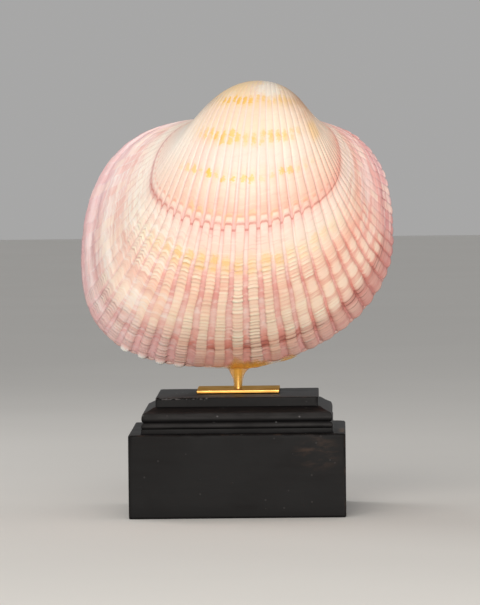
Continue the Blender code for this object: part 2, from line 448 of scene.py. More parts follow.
class GroupKit:
    """Builds the shader node groups that several finishes share."""

    def __init__(self) -> None:
        """Builds each group once."""
        self.specks = self._make_specks()
        self.handling = self._make_handling()

    @staticmethod
    def _start(name: str, inputs: tuple[tuple[str, str, object], ...],
               outputs: tuple[str, ...]) -> tuple[Wiring, dict[str, Value], dict]:
        """Makes an empty group with named sockets.

        Args:
            name: the group's name.
            inputs: name, socket type and default of each input.
            outputs: the name of each output, all of them numbers.

        Returns:
            The wiring, the group's inputs as values and its output sockets, by name.
        """
        tree = bpy.data.node_groups.new(name, "ShaderNodeTree")
        for label, kind, default in inputs:
            socket = tree.interface.new_socket(label, in_out="INPUT", socket_type=kind)
            if default is not None:
                socket.default_value = default
        for label in outputs:
            tree.interface.new_socket(label, in_out="OUTPUT", socket_type="NodeSocketFloat")
        wiring = Wiring(tree)
        entry = tree.nodes.new("NodeGroupInput")
        leave = tree.nodes.new("NodeGroupOutput")
        entry.location = (-NODE_WIDTH, NODE_HEIGHT)
        leave.location = (NODE_WIDTH * NODES_PER_LINE, NODE_HEIGHT)
        given = {label: Value(wiring, socket) for label, socket in entry.outputs.items() if label}
        return wiring, given, dict(leave.inputs.items())

    def _make_specks(self) -> bpy.types.NodeTree:
        """Scattered small specks of dust or chipped paint, as a mask."""
        wiring, given, result = self._start(
            "scattered_specks",
            (("Vector", "NodeSocketVector", None), ("Scale", "NodeSocketFloat", 400.0),
             ("Share", "NodeSocketFloat", 0.1), ("Size", "NodeSocketFloat", 0.25)),
            ("Mask",),
        )
        cells = wiring.add("TexVoronoi", feature="F1")
        wiring.feed(given["Vector"], cells.inputs["Vector"])
        wiring.feed(given["Scale"], cells.inputs["Scale"])
        split = wiring.add("SeparateColor")
        wiring.feed(cells.outputs["Color"], split.inputs[0])
        chance, size = (Value(wiring, split.outputs[index]) for index in (0, 1))
        chosen = wiring.math("LESS_THAN", chance, given["Share"])
        near = wiring.math("LESS_THAN", cells.outputs["Distance"], given["Size"] * (size + 0.4))
        wiring.feed(chosen * near, result["Mask"])
        return wiring.tree

    def _make_handling(self) -> bpy.types.NodeTree:
        """Wipe marks and fine scratches: a patchy mask and a height."""
        wiring, given, result = self._start(
            "handling_marks",
            (("Vector", "NodeSocketVector", None), ("Scale", "NodeSocketFloat", 60.0),
             ("Stretch", "NodeSocketVector", (1.0, 1.0, 1.0)), ("Amount", "NodeSocketFloat", 1.0)),
            ("Mask", "Height"),
        )
        stretched = wiring.vector("MULTIPLY", given["Vector"], given["Stretch"])
        patch = wiring.noise(given["Vector"], given["Scale"], 4.0)
        line = wiring.noise(stretched, given["Scale"] * 8.0, 3.0)
        mask = patch.ease(0.42, 0.68) * (line.ease(0.5, 0.7) * 0.6 + 0.4)
        wiring.feed(mask * given["Amount"], result["Mask"])
        wiring.feed(line, result["Height"])
        return wiring.tree

    @staticmethod
    def place(wiring: Wiring, group: bpy.types.NodeTree, **inputs: object) -> dict[str, Value]:
        """Places a group in a material.

        Args:
            wiring: the material's wiring.
            group: the group to place.
            inputs: values for its inputs, by name.

        Returns:
            The group's results, by name.
        """
        node = wiring.add("Group")
        node.node_tree = group
        for name, source in inputs.items():
            wiring.feed(source, node.inputs[name])
        return {label: Value(wiring, socket) for label, socket in node.outputs.items()}


def new_material(name: str) -> tuple[bpy.types.Material, Wiring]:
    """Makes a material with a bare surface shader.

    Args:
        name: the material's name.

    Returns:
        The material and its wiring.
    """
    material = bpy.data.materials.new(name)
    material.use_nodes = True
    return material, Wiring(material.node_tree)


@dataclass(frozen=True)
class ShellTints:
    """The shell's colours: ribs and grooves by growth, and the tints laid over them; the youngest front and
    rear stops and the scale tints are painted shade and highlight.
    """

    belly_ribs: tuple[Stop, ...] = by_age(
        (0.00, 244, 214, 172), (0.22, 250, 222, 182), (0.292, 252, 230, 206), (0.315, 248, 214, 164),
        (0.345, 248, 218, 192), (0.400, 248, 218, 191), (0.418, 246, 206, 171), (0.445, 248, 216, 203),
        (0.478, 248, 216, 203), (0.497, 248, 210, 188), (0.53, 248, 211, 193), (0.585, 242, 189, 168),
        (0.625, 247, 214, 202), (0.668, 245, 212, 196), (0.695, 240, 205, 166), (0.735, 247, 205, 180),
        (0.79, 246, 202, 178), (0.845, 248, 218, 192), (0.89, 250, 218, 194), (0.92, 246, 194, 168),
        (0.945, 250, 204, 180), (1.00, 250, 196, 162),
    )
    belly_grooves: tuple[Stop, ...] = by_age(
        (0.00, 248, 218, 190), (0.30, 248, 220, 203), (0.42, 248, 218, 205), (0.47, 248, 220, 210),
        (0.52, 247, 214, 206), (0.585, 242, 199, 189), (0.62, 243, 203, 195), (0.69, 248, 221, 210),
        (0.715, 246, 210, 200), (0.745, 238, 182, 172), (0.785, 228, 166, 156), (0.83, 237, 195, 184),
        (0.87, 243, 203, 191), (0.915, 238, 166, 150), (0.94, 226, 140, 124), (0.965, 242, 178, 166),
        (1.00, 240, 172, 156),
    )
    # The youngest stops are darker: painted shade on the beak's rear side, which turns from the light.
    rear_ribs: tuple[Stop, ...] = by_age(
        (0.00, 214, 192, 168), (0.30, 204, 182, 162), (0.38, 238, 218, 196), (0.46, 248, 236, 222),
        (0.57, 246, 220, 204), (0.60, 243, 214, 198), (0.64, 248, 226, 212), (0.69, 248, 236, 221),
        (0.745, 246, 224, 210), (0.775, 238, 203, 191), (0.81, 240, 208, 196), (0.842, 243, 226, 216),
        (0.874, 241, 224, 215), (0.895, 231, 194, 185), (0.925, 208, 160, 154), (0.947, 247, 230, 225),
        (0.968, 253, 242, 240), (0.985, 222, 174, 174), (1.00, 202, 146, 152),
    )
    rear_grooves: tuple[Stop, ...] = by_age(
        (0.00, 234, 212, 188), (0.46, 246, 230, 216), (0.58, 244, 218, 204), (0.66, 240, 222, 208),
        (0.77, 236, 202, 190), (0.83, 244, 220, 208), (0.86, 245, 227, 217), (0.90, 236, 196, 188),
        (0.925, 206, 160, 154), (0.95, 249, 232, 226), (0.968, 249, 232, 226), (0.985, 216, 168, 170),
        (1.00, 198, 142, 148),
    )
    # The youngest stops of the front ribs and grooves are darker: painted shade on the beak's front side,
    # which turns from the light.
    front_ribs: tuple[Stop, ...] = by_age(
        (0.00, 206, 164, 130), (0.30, 206, 160, 126), (0.36, 236, 197, 166), (0.42, 250, 223, 200),
        (0.50, 253, 232, 212), (0.57, 250, 213, 192), (0.60, 246, 192, 172), (0.64, 252, 226, 212),
        (0.70, 252, 226, 206), (0.74, 249, 192, 168), (0.78, 246, 188, 168), (0.82, 246, 196, 178),
        (0.86, 250, 205, 185), (0.895, 239, 178, 160), (0.915, 224, 148, 134), (0.930, 190, 98, 90),
        (0.950, 205, 130, 124), (0.975, 205, 132, 130), (1.00, 194, 120, 126),
    )
    front_grooves: tuple[Stop, ...] = by_age(
        (0.00, 204, 164, 132), (0.34, 222, 184, 154), (0.42, 246, 212, 184), (0.58, 240, 176, 154),
        (0.64, 248, 206, 190), (0.73, 232, 162, 143), (0.80, 238, 168, 152), (0.86, 240, 192, 178),
        (0.90, 222, 149, 137), (0.925, 182, 98, 88), (0.95, 190, 106, 98), (1.00, 180, 104, 104),
    )
    rosy_groove: Colour = srgb(230, 150, 142)
    pale_groove: Colour = srgb(248, 226, 218)
    flank_line: Colour = srgb(226, 158, 138)
    rear_flank_line: Colour = srgb(212, 182, 164)
    lilac: Colour = srgb(236, 204, 212)
    cream: Colour = srgb(252, 235, 220)
    dark_streak: Colour = srgb(206, 140, 126)
    light_streak: Colour = srgb(255, 240, 226)
    front_white: Colour = srgb(248, 222, 216)
    front_rose: Colour = srgb(232, 160, 152)
    rear_white: Colour = srgb(250, 244, 238)
    rear_rose: Colour = srgb(224, 176, 164)
    light_cell: Colour = srgb(254, 232, 210)
    rosy_cell: Colour = srgb(236, 164, 150)
    oval: Colour = srgb(254, 230, 210)
    between_ovals: Colour = srgb(218, 128, 116)
    orange: Colour = srgb(248, 196, 96)
    ring: Colour = srgb(206, 114, 102)
    upper_ring: Colour = srgb(238, 160, 140)
    ring_block: Colour = srgb(255, 248, 238)
    ring_stain: Colour = srgb(234, 148, 146)
    rear_ring: Colour = srgb(208, 144, 140)
    front_ring: Colour = srgb(234, 154, 136)
    # Painted shadow just past each scale's edge, and painted highlight on the edge itself.
    scale_shadow: Colour = srgb(188, 128, 100)
    scale_highlight: Colour = srgb(255, 246, 222)
    front_corner: Colour = srgb(196, 134, 130)
    mauve: Colour = srgb(226, 176, 174)
    rear_edge: Colour = srgb(224, 186, 194)
    stop_line: Colour = srgb(140, 84, 74)
    pit: Colour = srgb(162, 84, 74)
    beak: Colour = srgb(250, 214, 158)
    chalk: Colour = srgb(248, 237, 224)
    lip: Colour = srgb(255, 252, 246)
    # The rows of flecks and the thin dark lines.
    fleck_bands: tuple[Band, ...] = (
        (0.306, 0.019, 1.0), (0.408, 0.013, 0.75), (0.421, 0.012, 0.7), (0.505, 0.011, 1.0),
        (0.588, 0.012, 0.3), (0.694, 0.015, 0.5), (0.714, 0.008, 0.4),
    )
    dark_lines: tuple[Band, ...] = (
        (0.919, 0.0030, 0.55), (0.933, 0.0030, 0.75), (0.951, 0.0024, 0.5), (0.967, 0.0020, 0.35),
    )


class ShellFinish:
    """Works the shell's colour out from how old each part is and where it lies on its rib."""

    def __init__(self, tints: ShellTints) -> None:
        """Starts the material, reads the mesh's attributes and adds the noises that follow them.

        Args:
            tints: the shell's colours.
        """
        self.tints = tints
        self.material, wiring = new_material("ribbed_shell")
        self.wiring = wiring
        self.place = wiring.place()
        self.growth = wiring.attribute("growth")
        self.rib = wiring.attribute("rib")
        self.flank = wiring.attribute("flank")
        self.crest = wiring.attribute("crest")
        self.station = wiring.attribute("station")
        self.scaly = wiring.attribute("scaly")
        self.scale_phase = wiring.attribute("scale_phase")
        self.lip = wiring.attribute("lip")
        self.mottle = wiring.noise(self.place, 90.0, 3.0, 0.6) - 0.5
        self.wander = self.station + self.mottle * 0.45
        self.streak = self._along_growth(0.5, 130.0)
        self.on_rib = self.flank.ease(0.92, 1.15)
        self.to_rear = self.wander.ease(2.35, 2.9)
        self.to_front = self.wander.ease(1.6, 1.05)
        self.flat = self.wander.ease(1.3, 0.95) * self.growth.ease(0.60, 0.66)
        self.colour = self._ground()

    def _along_growth(self, across: float, along: float) -> Value:
        """Noise that follows the shell's own growth.

        Args:
            across: features to a rib.
            along: features from the beak to the edge.

        Returns:
            The noise value.
        """
        joined = self.wiring.add("CombineXYZ")
        self.wiring.feed(self.rib * across, joined.inputs[0])
        self.wiring.feed(self.growth * along, joined.inputs[1])
        return self.wiring.noise(Value(self.wiring, joined.outputs[0]), 1.0, 2.0, 0.55)

    def _random_cell(self, run: Value, seed: float) -> Value:
        """A random number for each whole step of a run along each rib.

        Args:
            run: what counts the steps.
            seed: shifts the numbers.

        Returns:
            The random number, from 0 to 1.
        """
        return (run.floor() * 71.0 + self.rib.floor()).random(seed)

    def build(self) -> bpy.types.Material:
        """Lays tints over the ground colour, from the ribs' flanks to the worn beak.

        Returns:
            The material.
        """
        wiring = self.wiring
        self._add_flanks()
        self._add_streaks()
        self._add_cells()
        self._add_flecks()
        self._add_ring()
        self._add_scales()
        self._add_stops()
        chalky = self._add_beak()
        fine = wiring.noise(self.place, 900.0, 3.0, 0.6)
        wiring.surface({
            "Base Color": wiring.mix(self.lip, self.colour, self.tints.lip),
            "Roughness": fine * 0.16 + 0.36 + chalky * 0.2 - self.lip * 0.25,
            "Normal": wiring.bump(self.streak * 1.6 + fine, 0.07 * MM, 0.7),
            "Specular IOR Level": 0.45,
            "Subsurface Weight": 0.08,
            "Subsurface Radius": (1.0, 0.5, 0.35),
            "Subsurface Scale": 1.2 * MM,
        })
        return self.material

    def _overlay(self, *layers: tuple[Value, float, Colour]) -> None:
        """Lays tints over the colour so far.

        Args:
            layers: where each tint shows, how strongly, and the tint.
        """
        self.colour = self.wiring.overlay(self.colour, *layers)

    def _ground(self) -> Value:
        """The colours of ribs and grooves by their age, on the belly and on both slopes.

        Returns:
            The colour.
        """
        wiring, growth, tints = self.wiring, self.growth, self.tints
        rib_shift = (self.rib.random(3.0) - 0.5) * 0.014
        bowed = (1.0 - self.crest) * 0.008
        age = growth + bowed + (rib_shift + self.mottle * 0.022)
        blotch = self._along_growth(1.15, 42.0)
        grooves = wiring.overlay(
            age.ramp(tints.belly_grooves),
            (blotch.ease(0.5, 0.66) * growth.ease(0.66, 0.74), 0.36, tints.rosy_groove),
            (blotch.ease(0.47, 0.34) * growth.ease(0.66, 0.8), 0.5, tints.pale_groove),
        )
        grooves = wiring.mix(self.to_rear, grooves, age.ramp(tints.rear_grooves))
        grooves = wiring.mix(self.to_front, grooves, age.ramp(tints.front_grooves))
        ribs = wiring.mix(self.to_rear, age.ramp(tints.belly_ribs), age.ramp(tints.rear_ribs))
        ribs = wiring.mix(self.to_front, ribs, age.ramp(tints.front_ribs))
        return wiring.mix(self.on_rib.larger(self.flat * 0.65), grooves, ribs)

    def _add_flanks(self) -> None:
        """Draws the ribs' flanks as thin lines, and tints the wings and the young front."""
        wiring, growth, wander, tints = self.wiring, self.growth, self.wander, self.tints
        edge = self.flank.band(0.93, 0.34) * growth.ease(0.42, 0.60, 0.03, 0.24)
        edge = edge * wander.ease(2.3, 2.7, 1.0, 0.3) * self.flat.ease(0.0, 1.0, 1.0, 0.25)
        plain = growth.band(0.858, 0.035) * self.to_rear
        line = wiring.mix(self.to_rear, tints.flank_line, tints.rear_flank_line)
        self.colour = wiring.mix(edge * (1.0 - plain * 0.8), self.colour, line)
        wings = wander.ease(2.9, 3.4).larger(wander.ease(1.2, 0.7))
        young = growth.band(0.40, 0.11) + growth.band(0.69, 0.07)
        self._overlay(
            (wings * growth.ease(0.66, 0.85), 0.5, tints.lilac),
            (young * wander.band(1.5, 0.38), 0.42, tints.cream),
        )

    def _add_streaks(self) -> None:
        """Adds growth lines that cross ribs and grooves: fine everywhere, broad on the slopes."""
        tints = self.tints
        amount = self.growth.ease(0.45, 0.75, 0.25, 1.0)
        layers = self._along_growth(0.42, 78.0)
        broad = self._along_growth(0.10, 34.0)
        behind = self.wander.ease(2.15, 2.6) * self.growth.ease(0.60, 0.70)
        self._overlay(
            (self.streak.ease(0.54, 0.72) * amount, 0.30, tints.dark_streak),
            (self.streak.ease(0.46, 0.3) * amount, 0.30, tints.light_streak),
            (broad.ease(0.5, 0.64) * self.flat, 0.6, tints.front_white),
            (broad.ease(0.48, 0.34) * self.flat, 0.5, tints.front_rose),
            (layers.ease(0.5, 0.64) * behind, 0.5, tints.rear_white),
            (layers.ease(0.46, 0.34) * behind, 0.42, tints.rear_rose),
        )

    def _add_cells(self) -> None:
        """Makes some stretches of rib lighter and some rosier, and rounds them into ovals in front."""
        growth, wander, tints = self.growth, self.wander, self.tints
        run = growth * 19.0 + ((self.rib.random(5.0) - 0.5) * 0.5 - 0.6)
        chance = self._random_cell(run, 0.5)
        zone = growth.ease(0.70, 0.76) * self.on_rib
        along, across = run.rest() - 0.5, self.rib.rest() - 0.5
        ragged = (self.streak - 0.5) * 0.5
        reach = (along * along + across * across).root() + (ragged + chance * 0.1)
        ahead = wander.ease(1.85, 1.4) * growth.ease(0.75, 0.79) * wander.ease(0.85, 1.15)
        self._overlay(
            (chance.ease(0.55, 0.95) * zone, 0.40, tints.light_cell),
            (chance.ease(0.4, 0.05) * zone, 0.26, tints.rosy_cell),
            (reach.ease(0.56, 0.22) * ahead * growth.ease(0.935, 0.905, 0.3, 1.0), 0.55, tints.oval),
            (reach.ease(0.34, 0.62) * ahead, 0.46, tints.between_ovals),
        )

    def _add_flecks(self) -> None:
        """Adds the rows of orange flecks that mark pauses in growth."""
        wander = self.wander
        middle = wander.ease(1.2, 1.6) * wander.ease(2.8, 2.3) * wander.ease(1.75, 2.3, 0.7, 1.0)
        ragged = (self.wiring.noise(self.place, 820.0, 3.0, 0.7) - 0.5) * 3.0
        across = self.rib.rest() - 0.5
        for index, (centre, half, strength) in enumerate(self.tints.fleck_bands):
            chance = self.rib.random(31.0 + 7.0 * index)
            shift = self.rib.random(11.0 + index) - 0.5
            along = (self.growth + shift * (half * 0.9) - centre) * (1.25 / half)
            aside = (across + shift * 0.35) * 2.7
            reach = (along * along + aside * aside).root() + ragged - chance * 0.5
            mask = reach.ease(0.85, 0.3) * chance.ease(0.0, 0.45, 0.4, 1.0) * middle
            self._overlay((mask, strength, self.tints.orange))

    def _add_ring(self) -> None:
        """Adds the rosy scalloped line where growth once stopped, with white blocks above it."""
        growth, wander, tints = self.growth, self.wander, self.tints
        high = self.crest.ease(0.7, 0.95)
        uneven = self.wiring.noise(self.place, 260.0).ease(0.25, 0.6, 0.5, 1.0)
        self._overlay(
            (growth.band(RING - 0.022, 0.0045) * high, 0.5, tints.upper_ring),
            (growth.band(RING - 0.013, 0.0080) * high, 0.3, tints.ring_block),
            (growth.band(RING - 0.0035, 0.028) * self.crest.ease(0.7, 0.2), 0.24, tints.ring_stain),
            (growth.band(RING + 0.0015, 0.016) * wander.ease(2.4, 2.95), 0.62, tints.rear_ring),
            (growth.band(RING - 0.0075, 0.016) * wander.ease(1.6, 1.25), 0.42, tints.front_ring),
            (growth.band(RING, 0.0048) * uneven, 0.62, tints.ring),
        )

    def _add_scales(self) -> None:
        """Paints a highlight on each scale's free edge and a shadow just beyond it."""
        wander, saw = self.wander, self.scale_phase.rest()
        patchy = self.wiring.noise(self.place, 240.0).ease(0.3, 0.6, 0.45, 1.0)
        amount = self.scaly * patchy * wander.ease(1.1, 1.7, 0.4, 1.0)
        deep = wander.ease(1.3, 1.8, 0.5, 1.0) * wander.ease(2.3, 2.7, 1.0, 0.4)
        bright = self._random_cell(self.scale_phase, 0.25).ease(0.0, 0.8, 0.35, 1.0)
        bright = bright * wander.ease(1.2, 1.7, 0.35, 1.0)
        # Painted shadow just past each scale's edge, then a painted highlight just before the next edge.
        self._overlay(
            (saw.ease(0.30, 0.06) * amount * deep, 0.44, self.tints.scale_shadow),
            (saw.ease(0.3, 0.7) * amount * bright, 0.8, self.tints.scale_highlight),
        )

    def _add_stops(self) -> None:
        """Adds the tints near the edge, its thin dark growth lines, and pits in the grooves."""
        wander, tints = self.wander, self.tints
        uneven = self.wiring.noise(self.place, 110.0, 3.0).ease(0.42, 0.6)
        shifted = self.growth + (self.wiring.noise(self.place, 60.0) - 0.5) * 0.008
        ahead = wander.ease(2.5, 1.7)
        drawn = ahead * wander.ease(0.9, 1.3, 0.3, 1.0) * uneven
        self._overlay(
            (shifted.ease(0.89, 0.94) * wander.band(1.35, 0.55), 0.45, tints.front_corner),
            (shifted.ease(0.935, 0.98) * wander.ease(1.2, 1.7, 0.3, 1.0), 0.45, tints.mauve),
            (shifted.ease(0.85, 0.93) * wander.ease(2.05, 2.4), 0.36, tints.rear_edge),
        )
        for centre, half, strength in tints.dark_lines:
            self._overlay((shifted.band(centre, half) * drawn, strength, tints.stop_line))
        pits = shifted.band(0.930, 0.02) * (1.0 - self.on_rib) * ahead * uneven
        self._overlay((pits, 0.48, tints.pit))

    def _add_beak(self) -> Value:
        """Adds the oldest part's worn, chalky patch and its orange tint.

        Returns:
            The chalky patch's mask.
        """
        tints = self.tints
        torn = (self.wiring.noise(self.place, 300.0, 4.0, 0.65) - 0.5) * 0.12
        oldest = (self.growth + torn).ease(0.31, 0.275)
        facing = self.wander + torn * 4.0
        facing = facing.ease(1.90, 1.79) * facing.ease(1.48, 1.62)
        chalky = oldest * facing * self.mottle.ease(-0.2, 0.0, 0.5, 1.0)
        self._overlay(
            (oldest * self.wander.ease(1.85, 2.15), 0.6, tints.beak),
            (chalky, 0.85, tints.chalk),
            (self.growth.band(0.425, 0.045) * self.station.band(1.14, 0.13), 0.4, tints.orange),
        )
        return chalky


@dataclass(frozen=True)
class BrassFinish:
    """Polished brass with fine drawn lines, some tarnished patches, and painted shade below a given height.
    """

    metal: Colour = srgb(212, 170, 100)
    edge: Colour = srgb(230, 196, 132)
    # Darker brass: real tarnish in the wipe marks, and painted shade on the plate's lower front face.
    tarnish_and_shade: Colour = srgb(150, 108, 52)
    stretch: Point = (0.05, 1.0, 1.0)
    # The height in mm below which it is darkened all over in the tarnished colour: painted shade on the
    # plate's lower front face.
    shaded_below: float = 0.0

    def build(self, groups: GroupKit, name: str) -> bpy.types.Material:
        """Builds the material.

        Args:
            groups: the shared node groups.
            name: the material's name.

        Returns:
            The material.
        """
        material, wiring = new_material(name)
        place = wiring.place()
        marks = groups.place(wiring, groups.handling, Vector=place, Scale=170.0,
                             Stretch=self.stretch, Amount=0.8)
        # Painted shade: all of the brass below the given height takes the darker colour.
        low = wiring.parts(place)[2].ease((self.shaded_below + 0.1) * MM, (self.shaded_below - 0.1) * MM)
        colour = wiring.mix(marks["Mask"], self.metal, self.tarnish_and_shade)
        wiring.surface({
            "Base Color": wiring.mix(low, colour, self.tarnish_and_shade),
            "Roughness": marks["Mask"] * 0.2 + 0.36,
            "Normal": wiring.bump(marks["Height"], 0.01 * MM, 0.5),
            "Metallic": 1.0,
            "Specular Tint": self.edge,
        })
        return material


@dataclass(frozen=True)
class PaintFinish:
    """Black paint over softwood, with dust, chips, rubbed edges, and beads lightened partly by dust and
    partly by painted light. Places in mm.
    """

    black: Colour = srgb(14, 13, 14)
    wiped: Colour = srgb(24, 22, 22)
    dust: Colour = srgb(70, 68, 68)
    bead_dust_and_light: Colour = srgb(46, 44, 44)
    rubbed: Colour = srgb(70, 52, 42)
    chip: Colour = srgb(92, 90, 91)
    bare: Colour = srgb(112, 90, 66)
    wiping: Point = (0.12, 0.12, 1.0)
    brushing: Point = (0.25, 0.25, 1.0)
    # The middle and the half sizes of the rubbed patch on the front and of the bare right ledge.
    patch: tuple[Point, Point] = ((33.0, -45.0, 27.0), (12.0, 6.0, 9.0))
    ledge: tuple[Point, Point] = ((43.4, -22.0, 34.8), (1.8, 19.0, 1.4))
    # Height and half width of each bead's lighter grey band: dust, with painted light where the beads face
    # the lamps.
    beads: tuple[Pair, Pair] = ((42.4, 1.9), (38.4, 1.4))
    flecks: tuple[Point, ...] = (
        (-39.0, -38.6, 42.6), (-26.0, 2.0, 49.5), (-23.5, 6.0, 49.5), (-21.5, 0.0, 49.5),
        (-12.5, -33.7, 49.2), (-8.0, -39.5, 42.0), (16.3, -39.6, 39.4), (26.0, -39.4, 41.6),
    )
    fleck_reach: Point = (0.6, 2.5, 0.5)

    def build(self, groups: GroupKit) -> bpy.types.Material:
        """Builds the material.

        Args:
            groups: the shared node groups.

        Returns:
            The material.
        """
        material, wiring = new_material("black_paint_on_wood")
        place = wiring.place()
        marks = groups.place(wiring, groups.handling, Vector=place, Scale=38.0,
                             Stretch=self.wiping, Amount=0.5)
        dust = groups.place(wiring, groups.specks, Vector=place, Scale=520.0, Share=0.06, Size=0.22)
        lint = groups.place(wiring, groups.specks, Vector=place, Scale=190.0, Share=0.035, Size=0.14)
        specks = dust["Mask"].larger(lint["Mask"])
        brushed = wiring.noise(wiring.vector("MULTIPLY", place, self.brushing), 420.0, 4.0, 0.65)
        up = wiring.parts(place)[2]
        upper, lower = (up.band(height * MM, half * MM) for height, half in self.beads)
        bare = self._spot(place, *self.ledge) * wiring.noise(place, 300.0, 3.0).ease(0.4, 0.55)
        rubbed = self._rims(place) * wiring.noise(place, 150.0, 4.0, 0.7).ease(0.5, 0.66)
        colour = wiring.overlay(
            wiring.mix(marks["Mask"], self.black, self.wiped),
            (self._spot(place, *self.patch) * brushed.ease(0.40, 0.66), 0.5, self.rubbed),
            # Lighter grey on the beads: partly dust, partly painted light.
            (upper.larger(lower) * brushed.ease(0.3, 0.6, 0.4, 1.0), 0.62, self.bead_dust_and_light),
            (rubbed, 0.4, self.rubbed),
            (bare, 0.9, self.bare),
            (specks, 0.45, self.dust),
            (self._chips(place), 0.8, self.chip),
        )
        grain = wiring.noise(place, 300.0, 4.0, 0.6)
        height = marks["Height"] * 1.2 + (grain + specks * 0.6)
        wiring.surface({
            "Base Color": colour,
            "Roughness": marks["Mask"] * 0.25 + 0.46 + specks * 0.3,
            "Normal": wiring.bump(height, 0.05 * MM, 0.7),
            "Specular IOR Level": 0.1,
        })
        return material

    @staticmethod
    def _rims(place: Value) -> Value:
        """The plinth's sharp edges, where hands rub the paint: both tops and the block's corners.

        Args:
            place: the coordinates.

        Returns:
            The edges' mask.
        """
        across, deep, up = place.wiring.parts(place)
        across, deep = abs(across), abs(deep)
        reach = across.larger(deep)
        block = reach.ease((BLOCK_HALF - 1.2) * MM, (BLOCK_HALF - 0.4) * MM)
        slab = reach.ease((SLAB_HALF - 1.0) * MM, (SLAB_HALF - 0.3) * MM)
        tops = (up.band(BLOCK_TOP * MM, 0.8 * MM) * block).larger(up.band(SLAB_TOP * MM, 0.5 * MM) * slab)
        inside, outside = (BLOCK_HALF - 1.0) * MM, (BLOCK_HALF - 0.2) * MM
        corners = across.ease(inside, outside) * deep.ease(inside, outside)
        return tops.larger(corners * up.ease((BLOCK_TOP + 1.2) * MM, (BLOCK_TOP - 0.8) * MM))

    @staticmethod
    def _spot(place: Value, centre: Point, reach: Point) -> Value:
        """A soft ellipsoid round a place on the plinth.

        Args:
            place: the coordinates.
            centre, reach: the middle and the half sizes, in mm.

        Returns:
            A mask that is 1 in the middle and 0 beyond the reach.
        """
        wiring = place.wiring
        offset = wiring.vector("SUBTRACT", place, tuple(value * MM for value in centre))
        scaled = wiring.vector("DIVIDE", offset, tuple(value * MM for value in reach))
        return wiring.vector("LENGTH", scaled).ease(0.3, 1.0, 1.0, 0.0)

    def _chips(self, place: Value) -> Value:
        """Bare ground where the edge is chipped, and a few single flecks.

        Args:
            place: the coordinates.

        Returns:
            The chips' mask.
        """
        ragged = place.wiring.noise(place, 700.0, 4.0, 0.75) * 0.9
        result = (place.wiring.attribute("bare") - ragged).ease(-0.15, 0.2)
        for centre in self.flecks:
            fleck = self._spot(place, centre, self.fleck_reach)
            result = result.larger((fleck - ragged).ease(0.0, 0.15))
        return result


@dataclass(frozen=True)
class ResinFinish:
    """Clear amber resin."""

    thin: Colour = srgb(240, 196, 104)
    thick: Colour = srgb(246, 180, 72)

    def build(self) -> bpy.types.Material:
        """Builds the material.

        Returns:
            The material.
        """
        material, wiring = new_material("amber_resin")
        place, body = wiring.place(), wiring.attribute("body")
        cloud = wiring.noise(place, 260.0, 3.0).ease(0.35, 0.7)
        wiring.surface({
            "Base Color": wiring.mix(body.ease(0.2, 1.0) + cloud * 0.3, self.thin, self.thick),
            "Roughness": cloud * 0.1 + 0.14,
            "Normal": wiring.bump(wiring.noise(place, 500.0), 0.05 * MM, 0.4),
            "Alpha": (cloud * 0.14 + 0.76) * body.ease(0.0, 1.0),
            "IOR": 1.5,
        })
        return material


@dataclass(frozen=True)
class HornFinish:
    """Dried dark horn with lengthwise cracks."""

    dark: Colour = srgb(44, 28, 18)
    light: Colour = srgb(106, 74, 46)
    stretch: Point = (0.2, 1.0, 1.0)

    def build(self) -> bpy.types.Material:
        """Builds the material.

        Returns:
            The material.
        """
        material, wiring = new_material("dried_horn")
        stretched = wiring.vector("MULTIPLY", wiring.place(), self.stretch)
        fibre = wiring.noise(stretched, 2200.0, 4.0, 0.7)
        wiring.surface({
            "Base Color": wiring.mix(fibre.ease(0.4, 0.7), self.dark, self.light),
            "Roughness": fibre * 0.3 + 0.35,
            "Normal": wiring.bump(fibre, 0.08 * MM, 0.8),
        })
        return material


@dataclass(frozen=True)
class FloorFinish:
    """A plain pale floor."""

    pale: Colour = srgb(226, 224, 220)
    paler: Colour = srgb(232, 230, 226)

    def build(self) -> bpy.types.Material:
        """Builds the material.

        Returns:
            The material.
        """
        material, wiring = new_material("pale_floor")
        cloud = wiring.noise(wiring.place(), 6.0)
        wiring.surface({"Base Color": wiring.mix(cloud, self.pale, self.paler), "Roughness": 0.8})
        return material


